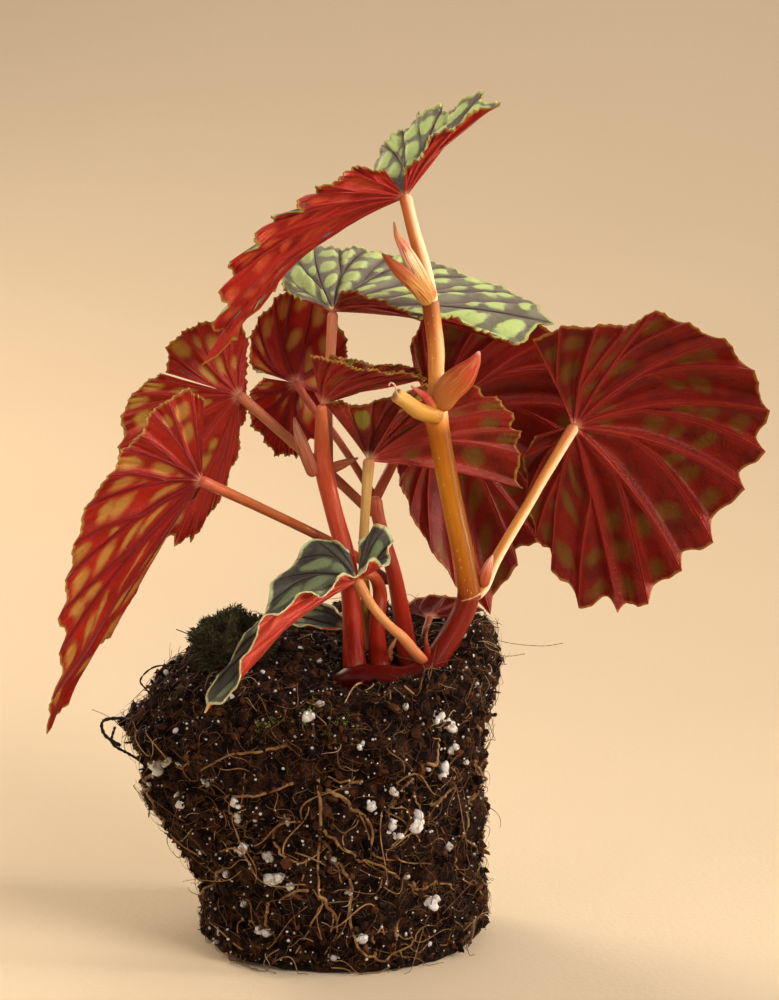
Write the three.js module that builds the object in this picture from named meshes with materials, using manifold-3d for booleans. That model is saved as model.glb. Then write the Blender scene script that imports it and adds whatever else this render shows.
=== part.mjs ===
// A young rhizomatous begonia, lifted out of its pot with the soil still round its roots.
// It stands on the flat underside of the root ball. The units are millimetres, +Z is up, and the
// origin is the centre of the root ball's underside. The creeping rhizome lies across the front of
// the soil; the stems and leaf stalks rise from it, and each stalk carries one lopsided, pleated blade.
import * as THREE from "three";
import { mergeVertices } from "three/addons/utils/BufferGeometryUtils.js";
import Module from "manifold-3d";

const CLEARANCE = 0.3; // between two pieces that touch on the plant
const BLADE_THICKNESS = 0.7;

// Root ball
const BALL_RADIUS = 25.2; // the straight wall, as the pot moulded it
const FOOT_RADIUS = 22.5; // of the flat underside
const SOIL_MIDDLE = 54; // height of the soil round the stems
const RHIZOME_BED = 49.6; // and under the rhizome, at the front

// Each blade is drawn by its main veins, in order round the stalk and counterclockwise when the upper
// face is seen. A vein runs from the top of the stalk to the point on the margin that is listed for it.
// arch: how far the longest vein bows towards the upper face. pleat: height of the fold between two
// veins, as a share of the gap between their ends. tooth: how deep the margin is cut between them.
const BLADES = {
  leaf_top: {
    stalk: [11.5, 0, 135.5],
    veins: [
      [11.5, -3.5, 140], [13, -4, 142.5], [15.5, -4.5, 145.5], [18.5, -4.5, 148], [22.5, -4, 150],
      [28.5, 0, 152], [25.5, 5, 154], [21, 8, 151.5], [18, 10, 151.5], [14, 12, 150],
      [11, 13, 146.5], [7.5, 13, 143.5], [2, 13, 136.5], [-4, 12, 131], [-10, 11, 125],
      [-15.5, 9, 118], [-17.5, 5, 113], [-20.5, 2.5, 110], [-25, 0, 105.5], [-23, -3, 113],
      [-21.5, -5, 119], [-19.5, -6, 124.5], [-15, -7, 129.5], [-11.5, -7.5, 132.5], [-7.5, -8, 135.5],
      [-3.5, -8, 138], [0.5, -7.5, 140.5], [4, -6.5, 141.5], [7.5, -4.5, 141],
    ],
    arch: 4.2, pleat: 0.14, tooth: 0.05, colour: "green",
  },
  leaf_green: {
    stalk: [-1.5, 6, 114.5],
    veins: [
      [0, 1, 118.5], [4, -1, 118], [9.5, -2, 116], [13.5, -2, 114], [18, -1, 113.5],
      [23.5, 1, 112], [28.5, 3, 110], [32, 5, 108.5], [38.5, 10, 111.5], [35.5, 16, 114],
      [32, 19, 115.5], [28.5, 22, 117], [24, 25, 118.5], [19.5, 27, 120], [14.5, 28, 121],
      [9.5, 29, 122], [4.5, 30, 123], [-0.5, 30, 123], [-5.5, 27, 124], [-9, 22, 122.5],
      [-11.5, 15, 120], [-10.5, 10, 118], [-7, 7, 116.5],
    ],
    arch: 2, pleat: 0.14, tooth: 0.05, colour: "green",
  },
  leaf_right: {
    stalk: [42, 5, 93.5],
    veins: [
      [34.5, 5, 109.5], [39.5, 2, 112.5], [46, 0, 113], [51.5, -1, 113], [56, -2, 115.5],
      [62, -2, 113.5], [68.5, -1, 110.5], [74, 0, 104.5], [77, 1, 97], [76.5, 2, 89.5],
      [73, 3, 82.5], [67.5, 4, 72.5], [62, 5, 67], [56, 6, 60.5], [50.5, 8, 58.5],
      [43.5, 10, 59], [38.5, 11, 66], [35.5, 12, 71.5], [33.5, 11, 79], [33, 9, 87.5],
      [35, 7, 91.5],
    ],
    arch: 2.5, pleat: 0.16, tooth: 0.06, colour: "red",
  },
  leaf_back_right: {
    stalk: [18, 18, 92],
    veins: [
      [13.5, 17, 101.5], [12.5, 16, 107], [14.5, 15, 112.5], [20, 15, 114.5], [27, 15, 114],
      [34.5, 17, 112], [40, 19, 108.5], [44.5, 21, 101.5], [46, 22, 94], [45.5, 22, 86],
      [43, 22, 78.5], [39.5, 21, 73], [36.5, 20, 69.5], [32.5, 18, 65.5], [27.5, 16, 56.5],
      [21, 15, 62], [16.5, 15, 68.5], [12.5, 15, 75.5], [10.5, 15, 81], [9, 16, 87],
    ],
    arch: 2.5, pleat: 0.16, tooth: 0.06, colour: "red",
  },
  leaf_centre: {
    stalk: [5, -2, 88.5],
    veins: [
      [10.5, -3.5, 97.5], [15, 2.5, 99.5], [19, 3.5, 101], [24, 3, 101.5], [28, 2.5, 99.5],
      [31, 3, 96.5], [32.5, 4, 93], [32.5, 5, 88.5], [33, 6, 82], [29, 7, 84],
      [25, 8, 86.5], [22, 9, 90.5], [19, 9.5, 96.5], [15.5, 9, 101], [11, 7, 99.5],
      [6, 5, 98.5], [1.5, 4, 98], [-0.5, 3, 99], [-3, 2, 98.5],
    ],
    arch: 1, pleat: 0.12, tooth: 0.05, colour: "red",
  },
  leaf_young: {
    stalk: [-3.5, -1, 98.5],
    veins: [
      [-5.5, -1, 107.5], [-3.5, -3, 107.5], [-1, -4, 107], [2, -4, 106], [5, -4, 105.5],
      [8, -3.5, 105], [11, -3, 105], [13, -2.5, 104.5], [15.5, -0.5, 103], [14, 0.5, 105],
      [11, 1.5, 105.5], [7.5, 2, 105.5], [4, 2.5, 106], [1, 2.5, 106.5], [-2, 2, 107.5],
    ],
    arch: 0.5, pleat: 0.2, tooth: 0.05, colour: "red",
  },
  leaf_left_front: {
    stalk: [-24.5, -9, 86],
    veins: [
      [-26, -5, 82], [-29, -3, 79.5], [-32.5, -1.5, 74.5], [-35.5, -1, 69], [-38, -1, 63],
      [-41, -2, 57.5], [-46, -3, 51], [-48.5, -5, 46], [-53, -9, 40], [-51.5, -12, 47],
      [-50, -13, 55.5], [-50, -14, 62], [-48.5, -14.5, 69], [-47, -15, 75.5], [-45, -15, 82],
      [-41, -15, 88], [-38.5, -14.5, 92.5], [-35.5, -14, 95], [-33.5, -13, 99], [-30.5, -12, 101],
      [-26.5, -10.5, 103], [-24, -9.5, 101],
    ],
    arch: 2, pleat: 0.14, tooth: 0.05, colour: "red",
  },
  leaf_left_back: {
    stalk: [-18.5, 10, 98.5],
    veins: [
      [-32, 9, 103], [-32, 9, 107.5], [-29, 9, 110.5], [-26, 10, 112], [-22, 11, 113],
      [-19, 12, 112.5], [-17, 12.5, 109], [-17, 13, 105], [-17, 13, 100.5], [-17, 12.5, 96.5],
      [-17.5, 11.5, 93.5], [-19, 10.5, 90.5], [-19.5, 10, 86.5], [-21, 9, 83], [-22.5, 8, 79],
      [-25.5, 7, 74.5], [-27.5, 6, 72], [-30.5, 5, 71.5], [-33.5, 4, 73.5], [-37, 3, 78.5],
      [-39.5, 3, 84], [-40.5, 4, 90], [-40, 5, 95.5], [-38, 6, 99.5], [-35, 7, 102],
      [-33, 7.5, 103],
    ],
    arch: 2, pleat: 0.14, tooth: 0.05, colour: "red",
  },
  leaf_mid_back: {
    stalk: [-8.5, 16, 100],
    veins: [
      [-14.5, 15, 102.5], [-17, 15.5, 104], [-17, 17, 108.5], [-15.5, 18, 112], [-12.5, 19, 115.5],
      [-9, 20, 117.5], [-5, 21, 117], [-1.5, 21, 112.5], [1, 20, 107.5], [1, 19, 104.5],
      [0, 18, 99.5], [-2, 17, 94.5], [-5, 16, 89.5], [-8.5, 15, 86], [-10.5, 14.5, 86.5],
      [-12.5, 14.5, 86.5], [-14.5, 15, 89], [-17, 15.5, 92], [-17.5, 15.5, 95.5], [-17, 15.5, 98.5],
      [-14.5, 15.5, 101],
    ],
    arch: 1.5, pleat: 0.14, tooth: 0.06, colour: "red",
  },
  leaf_low_front: {
    stalk: [3, -14, 69],
    veins: [
      [1.5, -10, 73.5], [-1.5, -8, 75], [-5, -7, 75], [-8, -9, 71.5], [-12, -12, 68.5],
      [-13, -17, 65], [-15.5, -22, 62], [-18.5, -27, 58.5], [-20.5, -30, 56], [-22.5, -32.5, 53.5],
      [-23, -35, 50], [-20, -36.5, 52], [-17, -37, 57.5], [-15.5, -36, 61], [-14, -34, 65],
      [-10.5, -31, 66.5], [-7.5, -28, 69], [-3.5, -25, 68], [-0.5, -21, 70.5], [2.5, -18, 70.5],
      [5, -18, 73], [7.5, -17, 72], [9, -15, 73.5], [9.5, -13, 76], [8, -12, 78.5],
      [6, -11.5, 78.5], [4.5, -11.5, 76.5], [4, -12, 74],
    ],
    arch: 2, pleat: 0.12, tooth: 0.03, colour: "green",
  },
  leaf_low_right: {
    stalk: [16, 4, 58.5],
    veins: [
      [11.5, 7, 59], [12, 8, 60], [13.5, 9, 61], [16, 9.5, 61.5], [19, 9.5, 61.5],
      [21.5, 9.5, 61], [24, 9, 60], [26, 8, 59],
    ],
    arch: 0.5, pleat: 0.1, tooth: 0.03, colour: "red",
  },
  leaf_low_back: {
    stalk: [0.5, 8, 55.5],
    veins: [
      [0.5, 6, 58], [-1.5, 8, 59.5], [-4.5, 11, 60], [-7.5, 14, 58.5], [-9.5, 14, 56.5],
      [-9.5, 11, 55.5], [-7.5, 8, 55.5], [-4, 6, 56],
    ],
    arch: 0.5, pleat: 0.1, tooth: 0.03, colour: "green",
  },
};

// Round stems, stalks and scales, each along its listed points: [x, y, z, radius].
const RHIZOME = {
  rhizome: [
    [0, -11, 52.5, 1.7], [3.5, -12, 52.5, 2.0], [8, -13, 52, 2.1], [12.5, -13, 51.5, 2.1],
    [16.5, -12, 54, 2.1], [20, -10, 59, 2.1], [23, -8, 64.5, 2.2],
  ],
};
const STEMS = {
  stem_main: [
    [23, -8, 65, 2.2], [22, -7, 71.5, 2.0], [20.5, -6, 78.5, 1.9], [19, -5.5, 86, 1.9],
    [17.5, -5, 94, 2.0], [17, -5, 97.5, 2.1], [17, -4.5, 102.5, 1.45], [17, -3.5, 108.5, 1.5],
    [16.5, -2.5, 113, 1.5], [16, -2, 116.5, 1.6],
  ],
  stem_left: [
    [2, -10, 53.5, 2.1], [2, -6, 61, 1.8], [1, -1, 70, 1.7], [-1.5, 2, 79, 1.6],
    [-3, 3, 85.5, 1.7], [-3.5, 3, 90.5, 1.4], [-3.5, -0.5, 98, 0.9],
  ],
  stem_back: [
    [12, -8, 53, 2.0], [11, -3, 59.5, 1.6], [9.5, 2, 67, 1.4], [7, 5, 75.5, 1.2], [6, 6, 80, 1.4],
  ],
  stem_short: [
    [6.5, -10, 53.5, 1.9], [6.5, -6, 59.5, 1.5], [7, -4, 64.5, 1.3], [6, -6, 68, 1.0],
    [4.5, -8, 69, 0.7],
  ],
  petiole_stub: [
    [17, -7, 97.5, 1.6], [14, -9, 98.5, 1.5], [11.5, -10, 100.5, 1.35], [10, -10.5, 101.5, 1.25],
  ],
};
const PETIOLES = {
  petiole_top: [
    [16, -2, 117, 1.4], [15, -1.5, 122.5, 1.3], [13, -1, 129.5, 1.2], [12, -0.5, 133.5, 1.15],
    [11.5, 0, 135.5, 1.2],
  ],
  petiole_green: [
    [-2.5, 6, 86, 1.0], [-2.5, 8, 90.5, 0.95], [-2.5, 8, 97, 0.9], [-2, 7, 105.5, 0.9],
    [-1.5, 6, 114, 1.0],
  ],
  petiole_right: [
    [25.5, -7, 66.5, 1.0], [28, -5, 71.5, 1.0], [34, -1, 81, 0.95], [36.5, 1, 85, 0.95],
    [42, 5, 93.5, 1.1],
  ],
  petiole_back_right: [
    [6, 8, 79.5, 0.95], [8, 9, 83.5, 0.95], [11.5, 13, 89.5, 0.95], [15, 16, 91, 0.95],
    [18, 17.5, 92, 1.0],
  ],
  petiole_centre: [
    [5.5, -3, 53, 1.1], [4.5, -3, 63, 0.9], [4, -3, 71.5, 0.9], [4.5, -2.5, 81.5, 0.9],
    [5, -2, 88.5, 1.1],
  ],
  petiole_left_front: [
    [8.5, 3, 65.5, 0.9], [3, 7, 69, 0.9], [-3, 7, 72.5, 0.9], [-14, -1, 79.5, 0.9],
    [-24.5, -8.5, 85.5, 1.05],
  ],
  petiole_left_back: [
    [5.5, 6, 77.5, 0.9], [-2, 10, 84, 0.9], [-8, 10.5, 89, 0.9], [-14, 10, 94.5, 0.95],
    [-18.5, 9.5, 98.5, 1.0],
  ],
  petiole_mid_back: [
    [6, 8, 80, 0.75], [1.5, 13, 86.5, 0.7], [-2, 14, 91.5, 0.7], [-5, 15, 95, 0.7],
    [-8.5, 15.5, 100, 0.75],
  ],
  petiole_low_front: [
    [13.5, -14, 53, 1.1], [10.5, -15, 58.5, 0.95], [8.5, -16, 61.5, 0.85], [5.5, -15.5, 65, 0.85],
    [3, -14.5, 69, 1.1],
  ],
  petiole_low_right: [[15.5, -2, 53, 0.65], [15, 1, 55.5, 0.6], [16, 4, 58.5, 0.65]],
  petiole_low_back: [[3, 2, 53, 0.7], [2, 5, 54.5, 0.65], [0.5, 8, 55.5, 0.7]],
};
const STIPULES = {
  stipule_bud: [
    [18, -7, 99, 1.6], [19, -8, 102, 2.5], [21.5, -8.5, 104.5, 2.4], [23.5, -8.5, 107, 1.3],
    [24.5, -8.5, 109, 0.25],
  ],
  stipule_small: [[16.5, -8, 99, 0.9], [15, -8.5, 101, 0.7], [12.5, -9, 103, 0.15]],
  stipule_upper_left: [
    [15.5, -5, 117.5, 1.2], [13.5, -5.5, 120, 1.35], [10, -6, 123.5, 1.1], [7.5, -6, 126, 0.2],
  ],
  stipule_upper_right: [
    [16, -3, 118, 1.4], [13.5, -4, 122.5, 1.6], [11.5, -4, 126.5, 1.1], [10, -4, 129, 0.5],
    [9.5, -4, 131.5, 0.12],
  ],
  stipule_node_left: [
    [-5, 2, 85.5, 1.2], [-7, 3, 90.5, 1.2], [-8, 4, 93.5, 0.7], [-8.5, 4, 95.5, 0.15],
  ],
  stipule_node_right: [[-2, 4, 86, 1.1], [0.5, 4, 87, 0.8], [3, 4, 88, 0.15]],
  stipule_petiole: [
    [25.5, -8, 67, 0.9], [26, -8, 69, 1.1], [26.5, -8, 71, 0.9], [26.5, -8, 72, 0.2],
  ],
  sprout: [[9, -8, 53, 0.8], [9, -7, 55, 0.6], [10, -7, 57, 0.3]],
};

// The soil is drawn by four profiles from the middle of the underside to the middle of the top,
// [distance from the axis, height], one for each side of the plant. It bulges on the left.
const BALL_PROFILES = {
  right: [
    [0, 0], [12, 0], [FOOT_RADIUS, 0], [24.8, 1.2], [BALL_RADIUS, 4], [BALL_RADIUS, 13],
    [BALL_RADIUS, 22], [BALL_RADIUS, 30], [25.4, 37], [26.2, 43], [27.6, 49], [27.4, 55],
    [24.5, 58], [19, 56.5], [10, 54.5], [0, SOIL_MIDDLE],
  ],
  back: [
    [0, 0], [12, 0], [FOOT_RADIUS, 0], [24.8, 1.2], [BALL_RADIUS, 4], [BALL_RADIUS, 13],
    [BALL_RADIUS, 22], [BALL_RADIUS, 30], [25.4, 37], [26, 43], [26.6, 49], [26, 53.5],
    [23.5, 56.5], [18, 55.5], [10, 54], [0, SOIL_MIDDLE],
  ],
  left: [
    [0, 0], [12, 0], [FOOT_RADIUS, 0], [25, 1.2], [25.5, 4], [25.9, 13],
    [31, 20.5], [35.3, 27.5], [36.5, 33.5], [39.5, 40], [34.8, 44], [32.5, 48],
    [26.5, 52.5], [20, 54.5], [10, 54.5], [0, SOIL_MIDDLE],
  ],
  front: [
    [0, 0], [12, 0], [FOOT_RADIUS, 0], [24.8, 1.2], [BALL_RADIUS, 4], [BALL_RADIUS, 12],
    [BALL_RADIUS, 20], [BALL_RADIUS, 28], [BALL_RADIUS, 35], [25.6, 41], [25.4, 45.5], [23.5, 48.5],
    [20, RHIZOME_BED], [14, 50.6], [7, 52.8], [0, SOIL_MIDDLE],
  ],
};
const BALL_COLUMNS = 40;
const BALL_LUMP = 0.45; // height of the unevenness in the wall

// Roots that show on the front, [degrees to the right of the front, height].
const FRONT_ROOTS = [
  [[-8, 36], [-8, 28], [-9, 22], [-9, 17], [-8, 12.5], [-19, 3]],
  [[-17, 35.5], [-29, 33], [-41, 32], [-40, 27], [-34, 23.5]],
  [[-19, 29], [-26, 26], [-23, 22.5], [-16, 20.5], [-9, 22]],
  [[-5, 34], [5, 30.5], [13, 27.5], [13, 22], [25, 20.5], [37, 19.5]],
  [[-7, 26.5], [3, 23], [21, 18], [43, 11]],
  [[-3, 21], [4, 17.5], [4, 8.5], [10, 4], [18, 3], [29, 5], [40, 8]],
  [[-21, 41.5], [-31, 40.5], [-40, 39.5], [-51, 34.5]],
  [[-47, 18], [-60, 14], [-72, 9.5]],
  [[22, 29.5], [29, 35], [35, 27]],
  [[8, 35], [2, 35], [-5, 36]],
];
const ROOT_RADIUS = 0.6;
const WALL_ROOTS = 10; // more roots, spread over the sides and the back
const GRAINS = 22; // lumps of white perlite
const GOLDEN_ANGLE = Math.PI * (3 - Math.sqrt(5));

const MOSS = { centre: [-19.5, -5, 54.5], size: [7, 7.5, 6.5] };

const COLOURS = {
  green: 0x7f8f55, red: 0x7d1f2b, rhizome: 0x3d1518, stem: 0xa8722c, petiole: 0xb5623f,
  stipule: 0xc4623f, soil: 0x2a1d16, moss: 0x3c4a1e,
};

const RINGS = [0.35, 0.7, 1]; // rings of vertices from the stalk out to the margin of a blade
const COLUMNS = 2; // columns of vertices between two veins
const STALK_GAP = 1; // how far a stalk's end stops below the middle of its blade

const wasm = await Module();
wasm.setup();

const vector = ([x, y, z]) => new THREE.Vector3(x, y, z);
const spline = (points) => new THREE.CatmullRomCurve3(points, false, "catmullrom", 0.5);

function geometryOf(vertices, triangles) {
  const positions = new THREE.BufferAttribute(new Float32Array(vertices.flatMap((v) => v.toArray())), 3);
  return new THREE.BufferGeometry().setAttribute("position", positions).setIndex(triangles.flat());
}

function solidOf(geometry) {
  const bare = geometry.clone().deleteAttribute("normal").deleteAttribute("uv");
  const merged = mergeVertices(bare, 1e-4);
  return new wasm.Manifold(
    new wasm.Mesh({
      numProp: 3,
      vertProperties: merged.attributes.position.array,
      triVerts: new Uint32Array(merged.index.array),
    }),
  );
}

function meshOf(solid, name, colour) {
  const { vertProperties, triVerts } = solid.getMesh();
  const geometry = new THREE.BufferGeometry();
  geometry.setAttribute("position", new THREE.BufferAttribute(vertProperties, 3));
  geometry.setIndex(new THREE.BufferAttribute(triVerts, 1));
  const material = new THREE.MeshStandardMaterial({ color: colour, roughness: 0.55, flatShading: true });
  const mesh = new THREE.Mesh(geometry, material);
  mesh.name = name;
  return mesh;
}

// The triangles of a band between two rows of vertices, each given by the index of its first vertex.
function band(lower, upper, count, closed) {
  const triangles = [];
  for (let i = 0; i < (closed ? count : count - 1); i++) {
    const next = (i + 1) % count;
    triangles.push([lower + i, lower + next, upper + next], [lower + i, upper + next, upper + i]);
  }
  return triangles;
}

// A fan of triangles from one vertex to a row of vertices.
const fan = (tip, row, count, closed) =>
  Array.from({ length: closed ? count : count - 1 }, (_, i) => [tip, row + i, row + ((i + 1) % count)]);

const reversed = (triangles) => triangles.map(([a, b, c]) => [a, c, b]);

// The middle surface of a blade, as columns of vertices: a quadratic curve along each vein, from the
// stalk A through A + (E - A) / 2 + 2 * arch * (length / longest)^2 * up to E on the margin. Between
// two veins it rises by pleat * gap * t * sin(pi * u)^2, and E moves in by tooth at the middle.
function bladeColumns({ stalk, veins, arch, pleat, tooth }) {
  const a = vector(stalk);
  const ends = veins.map(vector);
  const margin = spline(ends);
  const up = new THREE.Vector3();
  for (let i = 0; i + 1 < ends.length; i++) {
    up.add(ends[i].clone().sub(a).cross(ends[i + 1].clone().sub(a)));
  }
  up.normalize();
  const longest = Math.max(...ends.map((e) => e.distanceTo(a)));
  const count = (ends.length - 1) * COLUMNS + 1;
  return Array.from({ length: count }, (_, i) => {
    const u = i / COLUMNS;
    const at = i / (count - 1);
    const between = Math.sin(Math.PI * u) ** 2;
    const end = margin.getPoint(at).sub(a).multiplyScalar(1 - tooth * between).add(a);
    const along = end.clone().sub(a);
    const bow = 2 * arch * (along.length() / longest) ** 2;
    const middle = along.clone().multiplyScalar(0.5).add(a).addScaledVector(up, bow);
    const curve = new THREE.QuadraticBezierCurve3(a, middle, end);
    const gap = ends[Math.floor(u)].distanceTo(ends[Math.min(Math.floor(u) + 1, ends.length - 1)]);
    const rise = along.cross(margin.getTangent(at)).normalize().multiplyScalar(pleat * gap * between);
    return RINGS.map((t) => curve.getPoint(t).addScaledVector(rise, t));
  });
}

// The blade as a solid: the middle surface moved half its thickness up and down along its normals,
// with both faces split into triangles alike, closed along the margin and the two edges at the stalk.
function blade(spec, growth = 0) {
  const columns = bladeColumns(spec);
  const half = BLADE_THICKNESS / 2 + growth;
  const last = columns.length - 1;
  const rings = RINGS.length;
  const a = vector(spec.stalk);
  const normal = (i, k) => {
    const across = columns[Math.min(i + 1, last)][k].clone().sub(columns[Math.max(i - 1, 0)][k]);
    const inner = k > 0 ? columns[i][k - 1] : a;
    return columns[i][Math.min(k + 1, rings - 1)].clone().sub(inner).cross(across).normalize();
  };
  const stalkNormal = new THREE.Vector3();
  for (let i = 0; i <= last; i++) stalkNormal.add(normal(i, 0));
  stalkNormal.normalize();
  const face = (side) => {
    const rows = RINGS.flatMap((_, k) =>
      columns.map((column, i) => column[k].clone().addScaledVector(normal(i, k), side)),
    );
    return [a.clone().addScaledVector(stalkNormal, side), ...rows];
  };
  const vertices = [...face(half), ...face(-half)];
  const count = columns.length;
  const under = 1 + rings * count; // index of the first vertex of the underside
  const faceTriangles = fan(0, 1, count, false);
  for (let k = 0; k + 1 < rings; k++) {
    faceTriangles.push(...reversed(band(1 + k * count, 1 + (k + 1) * count, count, false)));
  }
  const outer = 1 + (rings - 1) * count;
  const edges = band(outer + under, outer, count, false);
  for (const [i, flip] of [[0, false], [last, true]]) {
    const path = [0, ...RINGS.map((_, k) => 1 + k * count + i)];
    for (let k = 0; k < rings; k++) {
      const [p, q] = [path[k], path[k + 1]];
      const wall = [[p, q + under, q], [p, p + under, q + under]];
      edges.push(...(flip ? reversed(wall) : wall));
    }
  }
  const below = reversed(faceTriangles).map((t) => t.map((v) => v + under));
  return solidOf(geometryOf(vertices, [...faceTriangles, ...below, ...edges]));
}

// A round stem along its points, with its radius changing smoothly from one to the next.
function stem(points, growth = 0, sides = 7, spacing = 3.5) {
  const path = spline(points.map(vector));
  const girth = spline(points.map(([, , , radius]) => new THREE.Vector3(radius, 0, 0)));
  const steps = Math.max(3, Math.round(path.getLength() / spacing));
  const frames = path.computeFrenetFrames(steps, false);
  const vertices = [];
  for (let k = 0; k <= steps; k++) {
    const centre = path.getPointAt(k / steps);
    const radius = girth.getPoint(path.getUtoTmapping(k / steps)).x + growth;
    for (let j = 0; j < sides; j++) {
      const turn = (2 * Math.PI * j) / sides;
      const rim = centre.clone().addScaledVector(frames.normals[k], radius * Math.cos(turn));
      vertices.push(rim.addScaledVector(frames.binormals[k], radius * Math.sin(turn)));
    }
  }
  const [first, last] = [frames.tangents[0], frames.tangents[steps]];
  const foot = vertices.push(vector(points[0]).addScaledVector(first, -growth)) - 1;
  const tip = vertices.push(vector(points.at(-1)).addScaledVector(last, growth)) - 1;
  const triangles = [...reversed(fan(foot, 0, sides, true)), ...fan(tip, steps * sides, sides, true)];
  for (let k = 0; k < steps; k++) {
    triangles.push(...band(k * sides, (k + 1) * sides, sides, true));
  }
  return solidOf(geometryOf(vertices, triangles));
}

// A leaf stalk's points, with the last moved back from the blade that it carries.
function belowBlade(points) {
  const [before, end] = points.slice(-2).map(vector);
  const pulled = end.addScaledVector(end.clone().sub(before).normalize(), -STALK_GAP);
  return [...points.slice(0, -1), [...pulled.toArray(), points.at(-1)[3]]];
}

// The soil's profile in one direction: the four profiles blended by the squares of the cosine and
// the sine of the angle from the right.
function ballProfile(angle) {
  const { right, back, left, front } = BALL_PROFILES;
  const [c, s] = [Math.cos(angle), Math.sin(angle)];
  return right.map((_, row) =>
    [0, 1].map((i) => c * c * (c > 0 ? right : left)[row][i] + s * s * (s > 0 ? back : front)[row][i]),
  );
}

// How far the wall stands out or in at an angle and height: three waves, which die out at the foot.
function lump(angle, z) {
  const coarse = Math.sin(5 * angle + 0.35 * z) + 0.5 * Math.sin(3 * angle + 0.9 * z);
  const fine = 0.7 * Math.sin(9 * angle - 0.5 * z);
  return BALL_LUMP * (coarse + fine) * Math.min(1, z / 6);
}

function ballPoint(angle, r, z) {
  const out = r + (r > 5 ? lump(angle, z) : 0);
  return new THREE.Vector3(out * Math.cos(angle), out * Math.sin(angle), z);
}

// The point on the soil's wall at an angle and a height, between the foot and the shoulder.
function wallPoint(angle, z) {
  const wall = ballProfile(angle).slice(3, 12);
  const above = Math.max(1, wall.findIndex(([, height]) => height >= z));
  const [[r0, z0], [r1, z1]] = [wall[above - 1], wall[above]];
  return ballPoint(angle, r0 + ((r1 - r0) * (z - z0)) / (z1 - z0), z);
}

function soil() {
  const rows = ballProfile(0).length;
  const vertices = [];
  for (let row = 1; row < rows - 1; row++) {
    for (let j = 0; j < BALL_COLUMNS; j++) {
      const angle = (2 * Math.PI * j) / BALL_COLUMNS;
      vertices.push(ballPoint(angle, ...ballProfile(angle)[row]));
    }
  }
  const bottom = vertices.push(new THREE.Vector3(0, 0, 0)) - 1;
  const top = vertices.push(new THREE.Vector3(0, 0, SOIL_MIDDLE)) - 1;
  const lastRow = (rows - 3) * BALL_COLUMNS;
  const triangles = [
    ...reversed(fan(bottom, 0, BALL_COLUMNS, true)),
    ...fan(top, lastRow, BALL_COLUMNS, true),
  ];
  for (let row = 0; row + 3 < rows; row++) {
    triangles.push(...band(row * BALL_COLUMNS, (row + 1) * BALL_COLUMNS, BALL_COLUMNS, true));
  }
  return solidOf(geometryOf(vertices, triangles));
}

// A root that follows the wall through its [angle, height] points, half sunk in the soil.
function root(places) {
  const points = places.map(([angle, z]) => [...wallPoint(angle, z).toArray(), ROOT_RADIUS]);
  return stem(points, 0, 4, 6);
}

function frontRoots() {
  return FRONT_ROOTS.map((places) =>
    root(places.map(([degrees, z]) => [THREE.MathUtils.degToRad(degrees - 90), z])),
  );
}

// Roots that wind down the sides and the back, each starting a little further round than the last.
function wallRoots() {
  return Array.from({ length: WALL_ROOTS }, (_, k) => {
    const start = -0.5 + ((k + 0.5) * 4) / WALL_ROOTS;
    const top = 42 - 13 * ((k * 0.618) % 1);
    const angle = (i) => start + 0.16 * Math.sin(2.1 * k + 1.3 * i);
    return root(Array.from({ length: 6 }, (_, i) => [angle(i), top * (1 - i / 6.5)]));
  });
}

// Grains of perlite, set in the wall along a spiral that goes round by the golden angle.
function grains() {
  return Array.from({ length: GRAINS }, (_, k) => {
    const size = 1 + 0.9 * ((k * 0.618) % 1);
    const place = wallPoint(k * GOLDEN_ANGLE, 5 + (44 * (k + 0.5)) / GRAINS);
    const grain = new THREE.IcosahedronGeometry(size, 0).rotateX(k).rotateY(2 * k);
    return solidOf(grain.translate(...place.toArray()));
  });
}

function rootBall() {
  return [...frontRoots(), ...wallRoots(), ...grains()].reduce((sum, bit) => sum.add(bit), soil());
}

// A cushion of moss: a ball of the given half sizes, with small tufts raised all over it.
function moss(growth = 0) {
  const geometry = new THREE.IcosahedronGeometry(1, 2);
  const { position } = geometry.attributes;
  const p = new THREE.Vector3();
  for (let i = 0; i < position.count; i++) {
    p.fromBufferAttribute(position, i);
    const tuft = Math.sin(9 * p.x + 1) * Math.sin(8 * p.y) * Math.sin(7 * p.z + 2);
    p.multiplyScalar(1 + 0.12 * tuft).multiply(vector(MOSS.size.map((half) => half + growth)));
    p.add(vector(MOSS.centre));
    position.setXYZ(i, p.x, p.y, p.z);
  }
  return solidOf(geometry);
}

const mapped = (group, change) =>
  Object.fromEntries(Object.entries(group).map(([name, points]) => [name, change(points)]));

// Every piece in the order in which they take their room: [name, solid, solid with clearance, colour].
function pieces() {
  const blades = Object.entries(BLADES).map(([name, spec]) => [
    name, blade(spec), blade(spec, CLEARANCE), COLOURS[spec.colour],
  ]);
  const stemsIn = (group, colour) =>
    Object.entries(group).map(([name, points]) => [name, stem(points), stem(points, CLEARANCE), colour]);
  return [
    ...blades,
    ...stemsIn(RHIZOME, COLOURS.rhizome),
    ...stemsIn(STEMS, COLOURS.stem),
    ...stemsIn(mapped(PETIOLES, belowBlade), COLOURS.petiole),
    ...stemsIn(STIPULES, COLOURS.stipule),
    ["moss_clump", moss(), moss(CLEARANCE), COLOURS.moss],
    ["root_ball", rootBall(), null, COLOURS.soil],
  ];
}

const overlap = (a, b) => {
  const [p, q] = [a.boundingBox(), b.boundingBox()];
  return [0, 1, 2].every((i) => p.min[i] < q.max[i] && q.min[i] < p.max[i]);
};

// What is left of a solid beside its neighbours, without the loose scraps.
function cutClear(solid, neighbours) {
  const left = neighbours.filter((n) => overlap(solid, n)).reduce((rest, n) => rest.subtract(n), solid);
  return left.decompose().reduce((most, piece) => (piece.volume() > most.volume() ? piece : most));
}

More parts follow.
